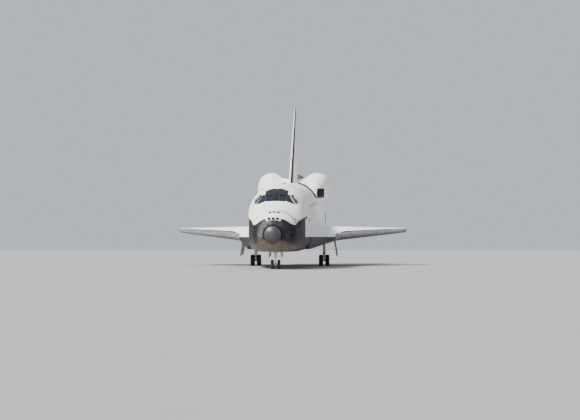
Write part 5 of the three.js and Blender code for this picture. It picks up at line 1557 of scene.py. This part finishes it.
# Nose leg
n = NOSE_AXLE
at_axle = Matrix.Translation(n)
strut = Shape().turned([(0.6203, 0), (0.6203, 0.09), (0.63, 0.095), (1.9, 0.095), (-n.z + WELL_ROOF, 0.095),
                        (-n.z + WELL_ROOF, 0)], at_axle, 48)
for low, high in ((0.64, 0.72), (1.05, 1.12), (1.5, 1.58)):
    strut.join(collar(n, 0.095, low, high))
strut.box((-0.06, NOSE_Y - 1, 1.03), (0.06, NOSE_Y + 0.06, WELL_ROOF), 0.01)
for s in (-0.035, 0.035):
    strut.rod((s, NOSE_Y - 0.95, 1.06), (s, NOSE_Y - 0.03, n.z + 0.78), 0.032, sides=20)
strut.box((-0.05, NOSE_Y - 0.13, n.z + 0.7), (0.05, NOSE_Y + 0.05, n.z + 0.85), 0.012)
strut.rod((-0.24, NOSE_Y + 0.02, 1.07), (0.24, NOSE_Y + 0.02, 1.07), 0.05, sides=24)
lamps = Shape()
LAMP_Z = n.z + 1.02
for x in (-0.13, 0.13):
    strut.pin((x, LAMP_Z), NOSE_Y - 0.07, NOSE_Y - 0.15, 0.062, end_radius=0.07, sides=28)
    strut.rod((x, NOSE_Y - 0.02, LAMP_Z), (0, NOSE_Y, LAMP_Z), 0.02, sides=12)
    lens_at = facing((x, NOSE_Y - 0.15, LAMP_Z), (0, -1, 0))
    lamps.turned([(0, 0.055), (0.006, 0.05), (0.012, 0.02), (0.013, 0)], lens_at, 28)
piece("nose_strut_fine", strut, GEAR_WHITE, "gear_metal", stands_for=["nose_gear_strut"])
piece("nose_lamps", lamps, LAMP, "gear_metal")
lines = Shape()
for s, r in ((-1, 0.012), (1, 0.012), (0.4, 0.008)):
    path = ((0.07, 0.09, 1.1), (0.1, 0.12, 0.6), (0.085, 0.11, 0.1), (0.08, 0.1, n.z + 0.66))
    lines.tube([(s * x, NOSE_Y + dy, z) for x, dy, z in path], r, 10)
piece("nose_lines", lines, HOSE, "gear_metal")
fork = Shape().turned([(0.56, 0), (0.56, 0.112), (0.57, 0.12), (0.612, 0.12), (0.62, 0.112), (0.62, 0)], at_axle, 40)
fork.turned([(-0.1, 0), (-0.1, 0.08), (-0.08, 0.1), (0.1, 0.1), (0.14, 0.078), (0.14, 0)], at_axle, 32)
fork.rod(*across(n, 0.12), 0.098, sides=40)
fork.join(torque_links(n, (0.1, 0.585), (0.09, 0.02), (0.3, 0.3), 0.06))
fork.rod(n + Vector((0, 0.02, 0)), n + Vector((0, -0.16, -0.02)), 0.03, 0.02, 16)
fork = carved(fork, cuts=[Shape().rod(*across(n, 0.2), 0.056, sides=48)])
piece("nose_fork_fine", fork, GEAR_WHITE, "gear_metal", "nose_fork", ["nose_gear_fork"])
piston = Shape().rod(n + Vector((0, 0, 0.12)), n + Vector((0, 0, 0.57)), 0.07, sides=40)
piece("nose_piston", piston, CHROME, "gear_metal", "nose_fork")
hubs = Shape().rod(*across(n, NOSE_TRACK), 0.0553, sides=48)
for label, side in SIDES:
    centre = n + Vector((side * NOSE_TRACK, 0, 0))
    hubs.join(hub(centre, 0.2297, 0.224, side))
    rubber = tyre(centre, NOSE_RADIUS, 0.224, 0.23, (-0.18, 0, 0.18))
    piece(f"nose_tyre_fine_{label}", rubber, RUBBER, "tyre", "nose_wheels", [f"nose_tyre_{label}"], sharp=45)
piece("nose_hubs_fine", hubs, HUB_GREY, "hub_metal", "nose_wheels", ["nose_hubs"])

# Main legs
m = MAIN_AXLE
at_axle = Matrix.Translation(m)
leg = Shape().turned([(0.5, 0), (0.5, 0.122), (0.51, 0.13), (WELL_ROOF - m.z, 0.13), (WELL_ROOF - m.z, 0)],
                     at_axle, 56)
for low, high in ((0.52, 0.6), (1.1, 1.18), (1.8, 1.9), (2.4, 2.5)):
    leg.join(collar(m, 0.13, low, high))
leg.rod((MAIN_X - 0.42, MAIN_Y + 0.02, 1.03), (MAIN_X + 0.42, MAIN_Y + 0.02, 1.03), 0.085, sides=32)
for s in (-0.045, 0.045):
    leg.rod((MAIN_X + s, MAIN_Y - 1.42, 1.09), (MAIN_X + s, MAIN_Y - 0.05, m.z + 0.7), 0.045, sides=24)
leg.box((MAIN_X - 0.09, MAIN_Y - 0.2, m.z + 0.6), (MAIN_X + 0.09, MAIN_Y + 0.02, m.z + 0.78), 0.015)
leg.box((MAIN_X - 0.11, MAIN_Y - 1.55, 1.04), (MAIN_X + 0.11, MAIN_Y - 1.33, WELL_ROOF), 0.01)
leg.rod((MAIN_X, MAIN_Y - 0.9, 1.08), (MAIN_X, MAIN_Y - 0.12, m.z + 1.7), 0.05, sides=24)
leg.turned([(-0.11, 0), (-0.11, 0.07), (-0.09, 0.1), (0.1, 0.1), (0.15, 0.085), (0.15, 0)], at_axle, 40)
leg.rod(*across(m, 0.1), 0.11, sides=48)
leg.join(torque_links(m, (0.13, 0.6), (0.1, 0.05), (0.42, 0.32), 0.07))
leg = carved(leg, cuts=[Shape().rod(*across(m, 0.2), 0.071, sides=48)])
main_piston = Shape().rod(m + Vector((0, 0, 0.13)), m + Vector((0, 0, 0.53)), 0.095, sides=48)
hoses = Shape()
for s in (-1, 1):
    path = ((0.1, 0.13, 1.1), (0.12, 0.16, 0.2), (0.11, 0.15, -0.8), (0.16, 0.19, m.z + 0.55), (0.17, 0.2, m.z + 0.2),
            (0.1, 0.1, m.z + 0.06))
    hoses.tube([(MAIN_X + s * dx, MAIN_Y + dy, z) for dx, dy, z in path], 0.016, 10)
pair("main_leg_fine_*", leg, GEAR_WHITE, "gear_metal", stands_for="main_gear_strut_*")
pair("main_piston_*", main_piston, CHROME, "gear_metal")
pair("main_hoses_*", hoses, HOSE, "gear_metal")
hubs, discs = Shape().rod(*across(m, MAIN_TRACK), 0.0703, sides=48), Shape()
for name, s in (("inner", -1), ("outer", 1)):
    centre = m + Vector((s * MAIN_TRACK, 0, 0))
    hubs.join(hub(centre, 0.3097, 0.406, s))
    discs.join(brake(centre, 0.3, s))
    rubber = tyre(centre, MAIN_RADIUS, 0.406, 0.31, (-0.26, -0.09, 0.09, 0.26))
    pair(f"main_tyre_fine_{name}_*", rubber, RUBBER, "tyre", "main_wheels_*", f"main_tyre_{name}_*", sharp=45)
pair("main_hubs_fine_*", hubs, HUB_GREY, "hub_metal", "main_wheels_*", "main_hubs_*")
pair("main_brakes_*", discs, STEEL, "hub_metal", "main_wheels_*")


def gear_door(hang, z, height, thick, tilt, wall, y0, y1):
    """Open door under the port side of its well: skin, inner ribs and arms."""
    x, tilt = wall - hang, math.radians(tilt)
    down = Vector((math.sin(tilt), 0, -math.cos(tilt)))
    inward = Vector((-math.cos(tilt), 0, -math.sin(tilt)))
    m = Matrix((down, Vector((0, 1, 0)), inward)).transposed().to_4x4()
    m.translation = (x, 0, z)
    skin = Shape().box((0, y0, -thick), (height, y1, -0.45 * thick), 0.012, m)
    skin.box((0.03, y0 + 0.03, -0.5 * thick), (height - 0.03, y1 - 0.03, -0.4 * thick), 0.004, m)
    ribs = Shape()
    for y in spread(y0 + 0.05, y1 - 0.05, 0.42):
        ribs.box((0.04, y - 0.018, -0.42 * thick), (height - 0.04, y + 0.018, 0), 0.006, m)
    for d in (0.05, height / 2, height - 0.05):
        ribs.box((d - 0.018, y0 + 0.03, -0.42 * thick), (d + 0.018, y1 - 0.03, 0), 0.006, m)
    for share in (0.15, 0.5, 0.85):
        y = lerp(y0, y1, share)
        ribs.box((x + 0.01, y - 0.06, z - 0.045), (wall - HAIR, y + 0.06, z), 0.008)
        ribs.rod((x + 0.02, y, z - 0.02), (x + 0.02 + 0.55 * height * down.x, y, z - 0.55 * height), 0.022, sides=14)
    return skin, ribs


doors = {"nose": gear_door(0.085, 0.26, 0.6, 0.045, 8, 0.52, 2.52, 5.28),
         "main": gear_door(0.115, 0.32, 1.78, 0.07, 10, 4.572, 20.391, 24.186)}
for name, (skin, ribs) in doors.items():
    pair(f"{name}_door_skin_*", skin, GEAR_DOOR, "gear_door_skin", stands_for=f"{name}_gear_door_*")
    pair(f"{name}_door_ribs_*", ribs, GEAR_WHITE, "gear_door_skin")

# Wheel wells: frames and pipes
wells, main_wells = Shape(), Shape()
for y in spread(2.6, 5.2, 0.5):
    for x in (-0.49, 0.49):
        wells.box((x - 0.025, y - 0.02, 0.26), (x + 0.025, y + 0.02, 1.14), 0.006)
    wells.box((-0.5, y - 0.02, 1.1), (0.5, y + 0.02, 1.149), 0.006)
for s in (-1, 1):
    for k in range(3):
        x = s * (0.34 + 0.05 * k)
        wells.tube([(x, 2.55, 1.08), (x, 4, 1.07), (x, 5.25, 1.08)], 0.014, 8)
for y in spread(20.5, 24.1, 0.6):
    main_wells.box((2.71, y - 0.025, 0.1), (2.76, y + 0.025, 1.14), 0.006)
    main_wells.box((2.72, y - 0.025, 1.09), (4.55, y + 0.025, 1.149), 0.006)
for k in range(4):
    x = 2.9 + 0.07 * k
    main_wells.tube([(x, 20.42, 1.07), (x, 22.2, 1.06), (x, 24.15, 1.07)], 0.018, 8)
piece("nose_well_frames", wells, RIB, "gear_metal")
piece("main_well_frames", main_wells.both(), RIB, "gear_metal")

# Flight deck and seats
DECK_TOP = 3.31
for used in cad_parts["flight_deck"].material_slots:
    used.material = DECK
desk, screens = Shape(), Shape()
for z in (3.55, 3.85):
    for k in range(-4, 5):
        x = 0.27 * k
        desk.box((x - 0.125, 4.935, z - 0.13), (x + 0.125, 4.962, z + 0.13), 0.006)
        screens.box((x - 0.1, 4.955, z - 0.1), (x + 0.1, 4.967, z + 0.1), 0.004)
for s in (-1, 1):
    desk.box((s * 1.5 - 0.14, 5.0, DECK_TOP + 0.001), (s * 1.5 + 0.14, 6.2, 3.85), 0.03)
    desk.rod((s * 0.65, 5.05, DECK_TOP), (s * 0.65, 5.12, 3.72), 0.03, 0.022)
    desk.rod((s * 0.65, 5.12, 3.7), (s * 0.65, 5.1, 3.86), 0.03, 0.035)
desk.box((-0.17, 4.96, DECK_TOP + 0.001), (0.17, 6.1, 3.7), 0.03)
desk.box((-1.3, 8.2, DECK_TOP + 0.001), (1.3, 8.56, 4.5), 0.03)
for k in range(-5, 6):
    for row in range(3):
        screens.pin((0.1104 * k, 3.7 + 0.22 * row), 8.19, 8.2, 0.035, sides=16)
piece("cockpit_consoles", desk, PANEL, "deck_grey")
piece("cockpit_screens", screens, SCREEN, "deck_grey")
for label, side in SIDES:
    x = side * 0.65
    seat_frame = Shape().box((x - 0.23, 5.36, DECK_TOP + HAIR), (x + 0.23, 5.83, 3.36), 0.01)
    for dx in (-0.2, 0.2):
        for y in (5.42, 5.8):
            seat_frame.rod((x + dx, y, 3.34), (x + dx, y, 3.74), 0.022, sides=14)
        seat_frame.pin((x + dx * 1.1, 4.02), 5.5, 5.925, 0.03, sides=14)
    seat_frame.box((x - 0.25, 5.33, 3.7), (x + 0.25, 5.88, 3.75), 0.012)
    seat_frame.box((x - 0.24, 5.9, 3.75), (x + 0.24, 5.94, 4.54), 0.012)
    piece(f"seat_frame_{label}", seat_frame, STEEL, "seat_cloth")
    pads = cushion((x - 0.24, 5.33, 3.735), (x + 0.24, 5.86, 3.86))
    pads.join(cushion((x - 0.24, 5.79, 3.87), (x + 0.24, 5.912, 4.4), (0, 2, 1), -1))
    pads.join(cushion((x - 0.15, 5.8, 4.42), (x + 0.15, 5.912, 4.58), (0, 2, 1), -1, (0.0,)))
    seat = piece(f"seat_cushions_{label}", pads, CLOTH, "seat_cloth", stands_for=[f"seat_{label}"], sharp=80)

# Small outside details


def flush(y, z, side):
    """Frame on the body's flank that looks straight out."""
    place = from_side(y, z, side)
    return facing(place, hull_normal(place))


marks, vents, umbilicals = Shape(), Shape(), Shape()
for s in (-1, 1):
    for y, z in ((2.9, 2.9), (3.3, 2.78)):
        marks.turned([(-0.01, 0), (-0.01, 0.085), (0.004, 0.08), (0.008, 0.05), (0.008, 0)], flush(y, z, s), 28)
    marks.turned([(-0.01, 0), (-0.01, 0.07), (0.005, 0.065), (0.006, 0)], flush(3.85, 3.45, s), 28)
    p = from_side(3.3, 2.3, s)
    marks.turned([(-0.02, 0), (-0.02, 0.05), (0.1, 0.02), (0.13, 0.008), (0.13, 0)], facing(p, (s, -0.75, 0)), 20)
    for y, z in ((7.95, 2.6), (10.6, 3.1), (14.1, 3.1), (17.6, 3.1), (21.1, 3.1), (24.8, 3.1)):
        vents.box((s * 2.655 - 0.014, y - 0.21, z - 0.11), (s * 2.655 + 0.022, y + 0.21, z + 0.11), 0.008)
    x = from_side(31.0, 2.0, s).x
    umbilicals.box((x - 0.03, 30.55, 1.5), (x + 0.03, 31.45, 2.6), 0.02)
    for y, z, radius in ((30.8, 2.2, 0.12), (31.15, 1.85, 0.09)):
        umbilicals.rod((x, y, z), (x + s * 0.05, y, z), radius, sides=28)
piece("nose_fittings", marks, FRAME_BLACK, "forward_tiles")
piece("side_vents", vents, FRAME_BLACK, "mid_tiles")
piece("ground_umbilical_plates", umbilicals, FRAME_BLACK, "aft_tiles")

# Setting: pale floor, sun from ahead and to the viewer's left, camera where the photo was taken
corners = [(-900, -900, 0), (900, -900, 0), (900, 900, 0), (-900, 900, 0)]
floor = bare_object("floor", Shape().add(corners, [(0, 1, 2, 3)]))
floor.data.materials.append(FLOOR)
backdrop = bpy.context.scene.world or bpy.data.worlds.new("studio")
bpy.context.scene.world = backdrop
backdrop.use_nodes = True
sky = backdrop.node_tree.nodes["Background"].inputs
sky[0].default_value, sky[1].default_value = (0.68, 0.72, 0.78, 1), 0.9
key_data = bpy.data.lights.new("key", "SUN")
key_data.energy, key_data.angle, key_data.color = 7.6, math.radians(12), (1.0, 0.97, 0.93)
key = bpy.data.objects.new("key", key_data)
key.rotation_euler = Vector((-0.55, -0.6, 0.75)).to_track_quat("Z", "Y").to_euler()
bpy.context.scene.collection.objects.link(key)
lens = bpy.data.cameras.new("camera")
lens.lens, lens.sensor_width, lens.clip_end = 72.43, 36, 3000
camera = bpy.data.objects.new("camera", lens)
camera.location = (7.185, -112.395, 1.763)
rise, turn = math.radians(1.877), math.radians(3.489)
forward = Vector((-math.sin(turn) * math.cos(rise), math.cos(turn) * math.cos(rise), math.sin(rise)))
camera.rotation_euler = forward.to_track_quat("-Z", "Y").to_euler()
bpy.context.scene.collection.objects.link(camera)
bpy.context.scene.camera = camera
